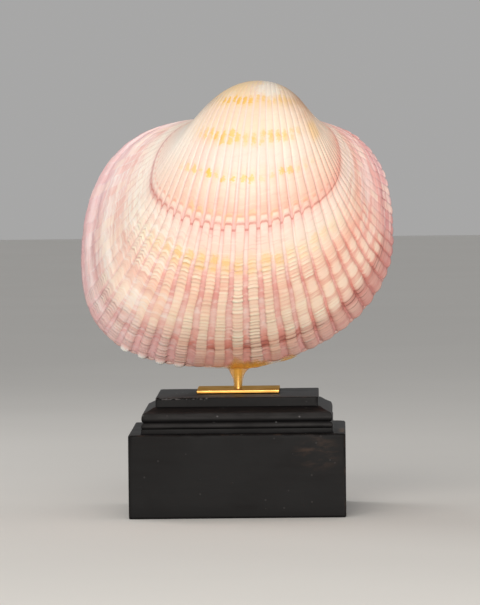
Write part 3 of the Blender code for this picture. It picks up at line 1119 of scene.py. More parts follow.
@dataclass
class GrowthForm:
    """The valve's form: an outline that grows as a spiral round the hinge axis. Sizes in mm."""

    pole_x: float = 15.1
    pole_z: float = 168.0
    front_reach: float = 51.6
    front_drop: float = 53.4
    rear_reach: float = 81.4
    rear_drop: float = 62.7
    belly_reach: float = 108.2
    belly_setback: float = 19.8
    hinge_front: float = 8.2
    hinge_rear: float = 33.8
    hinge_drop: float = 4.2
    # How square each quarter is, in the order of the stations.
    powers: tuple[float, float, float, float] = (2.6, 2.0, 2.6, 2.25)
    # How much smaller the young outline's reaches were, and how much rounder its rear corner.
    young_front: float = 0.03
    young_rear: float = 0.035
    young_belly: float = 0.015
    young_corner: float = 0.72
    young_until: float = 0.39
    growth_rate: float = 0.66
    most_turn: float = 2.9
    turn_ease: float = 4.0
    lean: float = 14.7
    # How far each valve keeps from the middle plane: at the edge, and what is added at the beak.
    clearance: float = 0.15
    beak_clearance: float = 0.85

    @staticmethod
    def _quarter(centre: Pair, reach: Pair, power: float, turns: Pair, shares: np.ndarray) -> np.ndarray:
        """Points on a quarter of a superellipse, at even shares of its length.

        Args:
            centre, reach: its middle and half sizes.
            power: its exponent.
            turns: the angles of its ends in quarter turns.
            shares: where the points lie, from 0 to 1.

        Returns:
            An array of (x, z) rows.
        """
        angles = np.linspace(*turns, 1201) * math.pi / 2
        across, along = np.cos(angles), np.sin(angles)
        x = centre[0] + reach[0] * np.sign(across) * np.abs(across) ** (2 / power)
        z = centre[1] + reach[1] * np.sign(along) * np.abs(along) ** (2 / power)
        walked = np.concatenate([[0.0], np.cumsum(np.hypot(np.diff(x), np.diff(z)))])
        at = np.asarray(shares) * walked[-1]
        return np.stack([np.interp(at, walked, x), np.interp(at, walked, z)], axis=1)

    def outline(self, stations: np.ndarray, youth: float = 0.0) -> np.ndarray:
        """The shell's edge from the pole.

        Args:
            stations: 0 at the front end of the hinge, 1, 2 and 3 at the quarters, 4 at the rear
                end of the hinge and 5 back at its front end.
            youth: 0 for the full-grown outline, 1 for the young one.

        Returns:
            An array of (x, z) rows.
        """
        stations = np.asarray(stations, dtype=float)
        part = np.minimum(stations.astype(int), int(HINGE_REAR))
        share = stations - part
        front = self.front_reach * (1.0 - self.young_front * youth)
        rear = self.rear_reach * (1.0 - self.young_rear * youth)
        belly = self.belly_reach * (1.0 - self.young_belly * youth)
        back, hinge_rear, hinge_front = self.belly_setback, self.hinge_rear, self.hinge_front
        upper = self.front_drop, self.rear_drop
        quarters = (
            ((hinge_front, -upper[0]), (front - hinge_front, upper[0] - self.hinge_drop), (1, 0)),
            ((-back, -upper[0]), (front + back, belly - upper[0]), (0, -1)),
            ((-back, -upper[1]), (rear - back, belly - upper[1]), (-1, -2)),
            ((-hinge_rear, -upper[1]), (rear - hinge_rear, upper[1] - self.hinge_drop), (2, 1)),
        )
        result = np.stack([-hinge_rear + (hinge_rear + hinge_front) * share,
                           np.full_like(share, -self.hinge_drop)], axis=1)
        for number, (centre, reach, turns) in enumerate(quarters):
            power = self.powers[number] - (self.young_corner * youth if number == 2 else 0.0)
            inside = part == number
            result[inside] = self._quarter(centre, reach, power, turns, share)[inside]
        return result

    def outward(self, stations: np.ndarray, youth: float = 0.0, step: float = 0.012) -> np.ndarray:
        """Unit normals of the outline, pointing out of the shell.

        Args:
            stations: where they are wanted.
            youth: which outline.
            step: how far on either side the outline is read.

        Returns:
            An array of (x, z) rows.
        """
        ahead = self.outline(np.minimum(stations + step, HINGE_FRONT), youth)
        behind = self.outline(np.maximum(stations - step, 0.0), youth)
        along = ahead - behind
        normal = np.stack([-along[:, 1], along[:, 0]], axis=1)
        return normal / np.linalg.norm(normal, axis=1)[:, None]

    def row(self, stations: np.ndarray, growth: np.ndarray, inset: np.ndarray, middle: float) -> np.ndarray:
        """Points of one growth row of the right valve.

        Args:
            stations: where the points lie round the outline.
            growth: how far the shell had grown at each point, 1 at the edge.
            inset: how far the outline is drawn in at each point, in mm at full size.
            middle: the row's own growth, which sets the outline's age.

        Returns:
            An array of (x, y, z) rows in metres.
        """
        youth = smooth(1.0 - middle, 0.0, self.young_until)
        edge = self.outline(stations, youth) - self.outward(stations, youth) * inset[:, None]
        spiral = np.log(1.0 / np.clip(growth, 1e-4, 1.0)) / self.growth_rate
        angle = spiral / (1.0 + (spiral / self.most_turn) ** self.turn_ease) ** (1.0 / self.turn_ease)
        drop = growth * edge[:, 1]
        x = self.pole_x + growth * edge[:, 0] + self.lean * (1.0 - growth) * drop / self.belly_reach
        y = drop * np.sin(angle) - self.clearance - self.beak_clearance * (1.0 - growth)
        z = self.pole_z + drop * np.cos(angle)
        return np.stack([x, y, z], axis=1) * MM


@dataclass(frozen=True)
class Patch:
    """A region of a valve with soft borders, each border a pair of limits to ease between."""

    around: tuple[Pair, ...]
    grown: tuple[Pair, ...] = ()

    def mask(self, stations: np.ndarray, growth: float) -> np.ndarray:
        """How far points lie in the region.

        Args:
            stations: where they lie round the outline.
            growth: their row's growth.

        Returns:
            Values from 0 outside to 1 inside.
        """
        result = np.ones(len(stations))
        for low, high in self.around:
            result = result * smooth(stations, low, high)
        for low, high in self.grown:
            result = result * smooth(growth, low, high)
        return result


REAR_SLOPE = Patch(((2.5, 2.95),))
REAR_CORNER = Patch(((2.1, 2.4), (3.0, 2.75)))
FRONT_FLAT = Patch(((1.3, 1.0),), ((0.60, 0.66),))


@dataclass
class RibPattern:
    """How broad, deep and round the ribs are. Sizes in mm."""

    count: int = 61
    # The ribs' pitch by the share of the outline's length.
    pitches: tuple[Pair, ...] = (
        (0.00, 3.85), (0.20, 4.10), (0.26, 5.30), (0.30, 7.30), (0.34, 8.15), (0.40, 7.95), (0.45, 8.35),
        (0.57, 8.45), (0.62, 7.80), (0.66, 6.60), (0.74, 5.75), (0.85, 5.60), (1.00, 5.20),
    )
    # Half the grooves' width as a share of the pitch, on the slopes, and on the belly by growth.
    narrow: float = 0.09
    broad: tuple[Pair, ...] = ((0.3, 0.15), (0.6, 0.17), (0.7, 0.19), (0.8, 0.22), (1.0, 0.24))
    # The grooves' depth as a share of the pitch, and how round the crowns are, by station.
    depths: tuple[Pair, ...] = (
        (0.0, 0.06), (0.8, 0.12), (1.2, 0.15), (1.62, 0.18), (1.8, 0.11), (2.3, 0.105), (2.6, 0.09),
        (2.95, 0.04), (4.0, 0.03),
    )
    crowns: tuple[Pair, ...] = (
        (0.0, 0.4), (1.0, 0.6), (1.6, 0.5), (1.85, 0.2), (2.1, 0.22), (2.35, 0.42), (2.8, 0.5),
    )
    # How much shallower or deeper the grooves are in some regions: late on the rear slope, at the
    # front half's edge, at the rear corner, in the calm stretch before that corner, on the flat
    # front slope, and on the front half before the ring.
    changes: tuple[tuple[float, Patch], ...] = (
        (-0.80, Patch(((2.5, 2.95),), ((0.80, 0.87),))),
        (0.70, Patch(((1.8, 1.3),), ((0.95, 0.99),))),
        (1.60, Patch(((2.1, 2.4), (3.0, 2.75)), ((0.87, 0.93), (1.03, 0.96)))),
        (-0.55, Patch(((2.3, 2.6),), ((0.63, 0.70), (0.91, 0.85)))),
        (-0.78, Patch(((1.3, 1.0),), ((0.60, 0.66), (0.99, 0.95)))),
        (-0.40, Patch(((1.6, 1.25),), ((0.64, 0.58),))),
    )

    def half_width(self, stations: np.ndarray, growth: float) -> np.ndarray:
        """Half the width of the grooves, as a share of the pitch.

        Args:
            stations: where round the outline.
            growth: how far the shell had grown.

        Returns:
            The half widths.
        """
        late = 0.2 * smooth(growth, 0.78, 0.92)
        belly = smooth(stations, 1.5, 1.8) * smooth(stations, 2.75 + late, 2.15 + late)
        return self.narrow + (np.interp(growth, *zip(*self.broad)) - self.narrow) * belly

    def depth(self, stations: np.ndarray, growth: float) -> np.ndarray:
        """The grooves' depth, as a share of the pitch.

        Args:
            stations: where round the outline.
            growth: how far the shell had grown.

        Returns:
            The depths.
        """
        at_age = (0.75 + 0.25 * smooth(growth, 1.0, 0.95)) * (0.72 + 0.28 * smooth(growth, 0.40, 0.56))
        depth = np.interp(stations, *zip(*self.depths)) * at_age
        for change, patch in self.changes:
            depth = depth * (1.0 + change * patch.mask(stations, growth))
        return depth


@dataclass
class RibColumns:
    """The mesh's columns across the ribs of one valve: ten to a rib, closest on its flanks.

    The bases and slopes give each column's distance from the groove: a share of the pitch, and a
    share of the groove's half width that is added to it.
    """

    pattern: RibPattern
    form: GrowthForm
    phase: float
    per_rib: int = 10
    bases: tuple[float, ...] = (0.0, 0.0, 0.0, 0.0, 0.2, 0.5)
    slopes: tuple[float, ...] = (0.0, 0.70, 0.88, 1.06, 0.6, 0.0)

    def __post_init__(self) -> None:
        """Counts the ribs round the outline and picks the columns."""
        self.fine = np.linspace(0.0, HINGE_REAR, 4001)
        path = self.form.outline(self.fine)
        walked = np.concatenate([[0.0], np.cumsum(np.linalg.norm(np.diff(path, axis=0), axis=1))])
        self.pitch = np.interp(walked / walked[-1], *zip(*self.pattern.pitches))
        steps = 2.0 / (self.pitch[1:] + self.pitch[:-1]) * np.diff(walked)
        counted = np.concatenate([[0.0], np.cumsum(steps)])
        count = self.pattern.count
        self.counted = counted * count / counted[-1]
        number, place = np.divmod(np.arange(-self.per_rib, self.per_rib * (count + 1)), self.per_rib)
        nominal = number + place / self.per_rib + self.phase
        keep = (nominal >= 0.0) & (nominal < count)
        self.number, self.place = number[keep], place[keep]
        middles = np.clip(self.number + 0.5 + self.phase, 0.0, count)
        self.middle = np.interp(middles, self.counted, self.fine)

    def at(self, growth: float, swell: np.ndarray, wobble: np.ndarray) -> dict[str, np.ndarray]:
        """The columns' places and heights in one row.

        Args:
            growth: the row's growth.
            swell: how much of each groove's width its rib takes.
            wobble: how far each groove is moved aside, in ribs, from the one before the first rib.

        Returns:
            Station, rib coordinate, pitch, distance from the groove in half widths, and height
            from 0 in a groove to 1 on a crest.
        """
        half = self.pattern.half_width(self.middle, growth) * (1.0 - swell)
        before = self.place <= self.per_rib // 2
        fold = np.where(before, self.place, self.per_rib - self.place)
        apart = np.array(self.bases)[fold] + half * np.array(self.slopes)[fold]
        rib = self.number + np.where(before, apart, 1.0 - apart)
        moved = rib + self.phase + np.interp(rib, np.arange(len(wobble)) - 1.0, wobble)
        flank = apart / half
        crown = np.interp(self.middle, *zip(*self.pattern.crowns))
        round_off = crown * np.clip((0.5 - apart) / (0.5 - half), 0.0, 1.0) ** 2
        return {
            "station": np.interp(moved, self.counted, self.fine),
            "rib": rib,
            "pitch": np.interp(rib + self.phase, self.counted, self.pitch),
            "flank": flank,
            "crest": smooth(flank, 0.62, 1.12) * (1.0 - round_off),
        }


@dataclass
class FineValve:
    """One valve of the shell, with its ribs, scales and growth stops in the mesh. Sizes in mm."""

    side: Side
    form: GrowthForm
    ribs: RibPattern
    seed: int
    glossy_ribs: tuple[int, ...] = ()
    wall: float = 3.6
    # The scales' mean distance and the growths between which they stand.
    scale_step: float = 0.0098
    first_scale: float = 0.665
    last_scale: float = 0.984
    # Growth, length in growth, depth, and what the rear slope takes off, of each growth stop's step.
    growth_stops: tuple[tuple[float, float, float, float], ...] = (
        (0.805, 0.03, 0.22, 0.17), (0.934, 0.02, 0.20, 0.0), (RING, 0.085, 0.32, 0.0),
    )
    # The rear slope's low ridges, in mm.
    rear_ridges: tuple[Band, ...] = ((0.957, 0.015, 0.50), (0.856, 0.017, 0.35), (0.905, 0.020, -0.20))
    block_growth: float = 0.5975
    block_length: float = 0.0075
    block_height: float = 0.09
    lip_height: float = 0.75
    # The rows' growths at the edge, and their steps from the ring.
    edge_rows: tuple[float, ...] = (1.0, 0.9985, 0.996, 0.992, 0.988)
    ring_rows: tuple[float, ...] = (
        0.007, 0.005, 0.003, 0.001, -0.001, -0.003, -0.0055, -0.0095, -0.0135, -0.0185, -0.0235,
    )
    hinge_columns: int = 18
    inner_columns: int = 72
    inner_growths: tuple[float, ...] = (1.0, 0.93, 0.84, 0.74, 0.62, 0.5, 0.38, 0.27)
    # What is added to the rib and scale counts, so that the shaders read no negative number.
    offset: float = 100.0

    def __post_init__(self) -> None:
        """Seeds the valve's own irregularities and places its scales."""
        rng = np.random.default_rng(self.seed)
        spare = self.ribs.count + 6
        self.columns = RibColumns(self.ribs, self.form, 0.0 if self.side is Side.RIGHT else 0.5)
        steps = rng.uniform(0.72, 1.3, 200) * self.scale_step
        edges = self.last_scale - np.concatenate([[0.0], np.cumsum(steps)])
        self.edges = np.sort(edges[edges > self.first_scale])
        self.strength = rng.uniform(0.6, 1.15, spare)
        self.shift = rng.uniform(-1.0, 1.0, spare)
        self.phases = rng.uniform(0.0, 2.0 * math.pi, (4, spare))
        self.each = rng.uniform(0.35, 1.25, (len(self.edges) + 2, spare))

    def build(self, material: bpy.types.Material) -> bpy.types.Object:
        """Builds the valve's object.

        Args:
            material: the shell's material.

        Returns:
            The object, riding on the body and standing for its solid.
        """
        rows = [self._outer_row(growth) for growth in self._growths()]
        outer = [row for row, _ in rows]
        values = {name: [extra[name] for _, extra in rows] for name in rows[0][1]}
        inner, inner_stations = self._inner_rows(values["station"][0])
        name = f"{self.side.value}_valve_fine"
        mesh = self._mesh(name, outer, inner)
        self._store(mesh, values, inner_stations)
        self._unfold(mesh, values, len(outer[0]))
        piece = add_object(name, mesh, material)
        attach(piece, "root")
        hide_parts(f"{self.side.value}_valve")
        return piece

    def _growths(self) -> list[float]:
        """The rows' growths, from the edge to the beak, closest where the scales need them.

        Returns:
            The growths.
        """
        rows = list(self.edge_rows)
        for index in range(len(self.edges) - 1, -1, -1):
            edge = self.edges[index]
            below = self.edges[index - 1] if index else edge - self.scale_step
            rows += [edge + 0.0009, edge - 0.0009, edge - 0.45 * (edge - below)]
        rows += list(np.linspace(self.edges[0] - 0.012, 0.622, 4))
        rows += [RING + step for step in self.ring_rows]
        rows += list(np.linspace(0.578, 0.30, 20))
        rows += list(np.linspace(0.284, 0.03, 15))
        return rows

    def _scaly(self, growth: float, index: np.ndarray, phase: float) -> np.ndarray:
        """How strongly scaled the ribs are along one row.

        Args:
            growth: the row's growth.
            index: the columns' places in the lists of irregularities.
            phase: the row's place in the run of scales.

        Returns:
            A value from 0 to about 1 for each column.
        """
        middle = self.columns.middle
        inside = smooth(growth, self.first_scale, self.first_scale + 0.04)
        inside = inside * smooth(growth, 0.999, self.last_scale)
        belly = smooth(middle, 1.0, 1.35) * smooth(middle, 3.1, 2.7)
        centre = smooth(middle, 1.5, 1.8) * smooth(middle, 2.45, 2.15)
        wave = np.sin(growth * 52.0 + self.phases[0][index])
        zones = max(smooth(growth, 0.80, 0.77), smooth(growth, 0.865, 0.89))
        amount = centre * 0.75 + (1.0 - centre) * zones + 0.22 * wave
        each = self.each[math.floor(phase) % len(self.each)][index]
        return inside * belly * np.clip(amount, 0.05, 1.0) * self.strength[index] * each

    def _outer_row(self, growth: float) -> tuple[np.ndarray, dict[str, np.ndarray]]:
        """One row of the outside and its attributes.

        Args:
            growth: the row's growth.

        Returns:
            The points, and the attribute values by name.
        """
        middle, index = self.columns.middle, self.columns.number + 2
        phase = float(np.interp(growth, self.edges, np.arange(len(self.edges)) + 1.0, left=0.5))
        if growth > self.edges[-1]:
            phase = len(self.edges) + (growth - self.edges[-1]) / self.scale_step
        saw = phase - math.floor(phase)
        amount = self._scaly(growth, index, phase)
        wobble = 0.030 * np.sin(growth * 29.0 + self.phases[3])
        wobble = wobble + 0.022 * np.sin(growth * 63.0 + self.phases[2])
        at = self.columns.at(growth, 0.3 * amount * saw, wobble)
        crest = at["crest"]
        scaly = amount * smooth(crest, 0.5, 0.85)
        chosen = np.isin(self.columns.number, self.glossy_ribs)
        lip = chosen * smooth(crest, 0.5, 0.8) * smooth(growth, 0.9895, 0.995)

        depth = at["pitch"] * (1.0 - crest) * self.ribs.depth(middle, growth)
        scale_height = 0.31 - 0.14 * smooth(middle, 1.75, 1.5) + 0.16 * REAR_CORNER.mask(middle, growth)
        raised = self._raised(growth, index, crest) + scale_height * scaly * saw ** 1.4
        inset = depth + self._lowered(growth) - raised - self.lip_height * lip

        hinge = np.linspace(HINGE_REAR, HINGE_FRONT, self.hinge_columns + 1)[:-1]
        still = np.zeros(len(hinge))
        stations = np.concatenate([at["station"], hinge])
        inset = np.concatenate([inset, still + inset[-1]])
        grown = np.clip(growth + np.concatenate([self._warp(growth, index, at), still]), 0.001, 1.0)
        full = np.ones(len(stations))
        return self.form.row(stations, grown, inset, growth), {
            "growth": full * growth,
            "rib": np.concatenate([at["rib"], still + at["rib"][-1] + 0.2]) + self.offset,
            "flank": np.concatenate([np.minimum(at["flank"], 6.0), still + 2.0]),
            "crest": np.concatenate([crest, still + 1.0]),
            "station": stations,
            "scaly": np.concatenate([scaly, still]),
            "scale_phase": full * phase + self.offset,
            "lip": np.concatenate([lip, still]),
        }

    def _raised(self, growth: float, index: np.ndarray, crest: np.ndarray) -> np.ndarray:
        """How far waves, layers, blocks and ridges stand out along one row.

        Args:
            growth: the row's growth.
            index: the columns' places in the lists of irregularities.
            crest: the columns' heights on their ribs.

        Returns:
            The heights in mm.
        """
        middle, shift = self.columns.middle, self.shift[index]
        waves = 0.10 * np.sin(growth * 31.0 + self.phases[1][index])
        waves = waves + 0.06 * np.sin(growth * 67.0 + self.phases[2][index])
        layers = 0.09 * np.sin(growth * 150.0 + 1.6 * np.sin(middle * 13.0) + 0.5 * shift)
        layers = layers + 0.07 * np.sin(growth * 97.0 + 2.0 * np.sin(middle * 8.0 + 1.0))
        behind = smooth(middle, 2.2, 2.55) * smooth(middle, 3.7, 3.2) * smooth(growth, 0.62, 0.7)
        layers = layers * (behind + 0.8 * FRONT_FLAT.mask(middle, growth) * smooth(middle, 0.3, 0.6))
        drifted = growth + 0.004 * np.sin(middle * 11.0 + 1.0) + 0.0015 * shift
        ridges = sum(height * np.exp(-((drifted - at) / width) ** 2)
                     for at, width, height in self.rear_ridges)
        block = math.exp(-((growth - self.block_growth) / self.block_length) ** 4)
        block = self.block_height * block * smooth(crest, 0.7, 0.95)
        return waves * crest + layers + block + ridges * REAR_SLOPE.mask(middle, growth)

    def _lowered(self, growth: float) -> np.ndarray:
        """How far the growth stops, the rim and the slack near the edge lie in along one row.

        Args:
            growth: the row's growth.

        Returns:
            The depths in mm.
        """
        middle = self.columns.middle
        rear = REAR_SLOPE.mask(middle, growth)
        steps = sum((depth - less * rear) * self._stop(growth, at, length)
                    for at, length, depth, less in self.growth_stops)
        rim = 0.4 * smooth(growth, 0.988, 1.0) ** 2
        slack = 0.12 + 0.45 * rear
        if self.side is Side.LEFT:
            slack = slack + 0.5 * smooth(middle, 1.8, 1.4)
        return steps + rim + slack * smooth(growth, 0.9, 0.93)

    def _warp(self, growth: float, index: np.ndarray, at: dict[str, np.ndarray]) -> np.ndarray:
        """How far the row bends towards the edge across each rib, and its scallops at the ring.

        Args:
            growth: the row's growth.
            index: the columns' places in the lists of irregularities.
            at: the columns' places and heights.

        Returns:
            What is added to the growth.
        """
        middle = self.columns.middle
        from_crown = (0.5 - np.abs(at["rib"] - np.round(at["rib"]))) / 0.34
        bow = np.clip(1.0 - from_crown ** 2, 0.0, 1.0) * smooth(growth, 1.0, 0.985)
        sides = 1.0 - smooth(middle, 1.6, 1.8) * smooth(middle, 2.3, 2.1)
        bend = 0.0034 * self.shift[index] - 0.001 - 0.003 * sides
        bend = bend - 0.0035 * REAR_CORNER.mask(middle, growth)
        near_ring = math.exp(-((growth - RING) / 0.022) ** 2)
        scallop = 0.0084 * (2.0 * smooth(at["crest"], 0.3, 0.9) - 1.0)
        scallop = scallop * (1.0 - 0.8 * REAR_SLOPE.mask(middle, growth))
        scallop = scallop * (1.0 - 0.75 * smooth(middle, 1.6, 1.3))
        return bend * bow * (1.0 - near_ring) - near_ring * scallop

    @staticmethod
    def _stop(growth: float, at: float, length: float) -> float:
        """A step in at a growth stop that fades out again towards the edge.

        Args:
            growth: the row's growth.
            at: where growth stopped.
            length: how far the step takes to fade out.

        Returns:
            1 just beyond the stop, and 0 before it and after its length.
        """
        return smooth(growth, at - 0.001, at + 0.0025) * smooth(growth, at + length, at + 0.003)

    def _inner_rows(self, stations: np.ndarray) -> tuple[list[np.ndarray], np.ndarray]:
        """The hollow's rows, from the edge up.

        Args:
            stations: the outside's stations.

        Returns:
            The rows of points and their stations.
        """
        column = np.arange(self.inner_columns) * len(stations) / self.inner_columns
        inner = np.interp(column, np.arange(len(stations) + 1), np.append(stations, HINGE_FRONT))
        full = np.ones(self.inner_columns)
        rows = []
        for growth in self.inner_growths:
            wall = self.wall * growth ** 0.55 / growth
            rows.append(self.form.row(inner, full * growth, full * wall, growth))
        return rows, inner

    def _mesh(self, name: str, outer: list[np.ndarray], inner: list[np.ndarray]) -> bpy.types.Mesh:
        """Skins the rows: the outside, its cap at the beak, the rim, the hollow and its cap.

        Args:
            name: the mesh's name.
            outer, inner: the outside's and the hollow's rows.

        Returns:
            The mesh.
        """
        points = np.concatenate(outer + inner)
        columns, count = len(outer[0]), self.inner_columns
        last, start = (len(outer) - 1) * columns, len(outer) * columns
        top = start + (len(inner) - 1) * count
        faces = [face[::-1] for face in wrap(0, columns, len(outer))]
        faces.append(tuple(range(last, last + columns)))
        faces.extend(self._bridge(list(range(start, start + count)), list(range(columns))))
        faces.extend(wrap(start, count, len(inner)))
        faces.append(tuple(range(top + count - 1, top - 1, -1)))
        if self.side is Side.LEFT:
            points = points * np.array([1.0, -1.0, 1.0])
            faces = [face[::-1] for face in faces]
        lowest, highest = np.array(CAD_BOX)
        points = np.clip(points, lowest + 0.005 * MM, highest - 0.005 * MM)
        mesh = bpy.data.meshes.new(name)
        mesh.from_pydata(points.tolist(), [], faces)
        mesh.shade_smooth()
        return mesh

    def _store(self, mesh: bpy.types.Mesh, values: dict[str, list[np.ndarray]],
               inner_stations: np.ndarray) -> None:
        """Stores the values that the shaders read in the mesh. The hollow is plain and glossy.

        Args:
            mesh: the valve's mesh.
            values: the outside's attribute rows.
            inner_stations: the hollow's stations.
        """
        rows = len(self.inner_growths)
        hollow = np.zeros(rows * self.inner_columns)
        fill = {
            "growth": hollow + 0.99,
            "rib": hollow + self.offset,
            "flank": hollow + 3.0,
            "crest": hollow + 1.0,
            "station": np.tile(inner_stations, rows),
            "scaly": hollow,
            "scale_phase": hollow + self.offset + 0.5,
            "lip": hollow + 1.0,
        }
        for key, outer in values.items():
            data = np.concatenate([*outer, fill[key]]).astype(np.float32)
            mesh.attributes.new(key, "FLOAT", "POINT").data.foreach_set("value", data)

    def _unfold(self, mesh: bpy.types.Mesh, values: dict[str, list[np.ndarray]], columns: int) -> None:
        """Lays the surface out flat for the bake: ribs side by side, the hollow above, the beaks apart.

        Args:
            mesh: the valve's mesh.
            values: the outside's attribute rows.
            columns: points in an outer row.
        """
        ribs_share, low, high = 0.92, 0.05, 0.80
        hinge_count = self.hinge_columns
        hinge = ribs_share + (1.0 - ribs_share) * np.arange(1, hinge_count + 1) / (hinge_count + 1)
        places = []
        for rib, growth in zip(values["rib"], values["growth"]):
            across = (rib[:-hinge_count] - self.offset) * ribs_share / self.ribs.count
            places.append(np.stack([np.concatenate([across, hinge]), low + 0.73 * growth], axis=1))
        column = np.arange(self.inner_columns) * columns / self.inner_columns
        inner = np.interp(column, np.arange(columns + 1), np.append(places[0][:, 0], 1.0))
        for growth in self.inner_growths:
            places.append(np.stack([inner, np.full(len(inner), high + 0.25 * (1.0 - growth))], axis=1))
        corner = np.empty(len(mesh.loops), dtype=np.int32)
        mesh.loops.foreach_get("vertex_index", corner)
        start = np.empty(len(mesh.polygons), dtype=np.int32)
        mesh.polygons.foreach_get("loop_start", start)
        sizes = np.diff(np.append(start, len(corner)))
        flat = np.concatenate(places)[corner]
        widest = np.repeat(np.maximum.reduceat(flat[:, 0], start), sizes)
        flat[:, 0] += widest - flat[:, 0] > 0.5
        radius = 0.015
        for order, number in enumerate(np.flatnonzero(sizes > 4)):
            turn = np.arange(sizes[number]) * 2.0 * math.pi / sizes[number]
            disc = np.stack([2.0 * radius + 4.0 * radius * order + radius * np.cos(turn),
                             0.02 + radius * np.sin(turn)], axis=1)
            flat[start[number]:start[number] + sizes[number]] = disc
        layer = mesh.uv_layers.new(name="OFBake")
        layer.data.foreach_set("uv", flat.astype(np.float32).ravel())

    @staticmethod
    def _bridge(first: list[int], second: list[int]) -> list[tuple[int, int, int]]:
        """Triangles between two closed loops that start side by side.

        Args:
            first, second: the loops' point numbers.

        Returns:
            The triangles.
        """
        faces = []
        i = j = 0
        while i < len(first) or j < len(second):
            here, there = first[i % len(first)], second[j % len(second)]
            if (i + 1) * len(second) <= (j + 1) * len(first):
                faces.append((first[(i + 1) % len(first)], here, there))
                i += 1
            else:
                faces.append((second[(j + 1) % len(second)], here, there))
                j += 1
        return faces


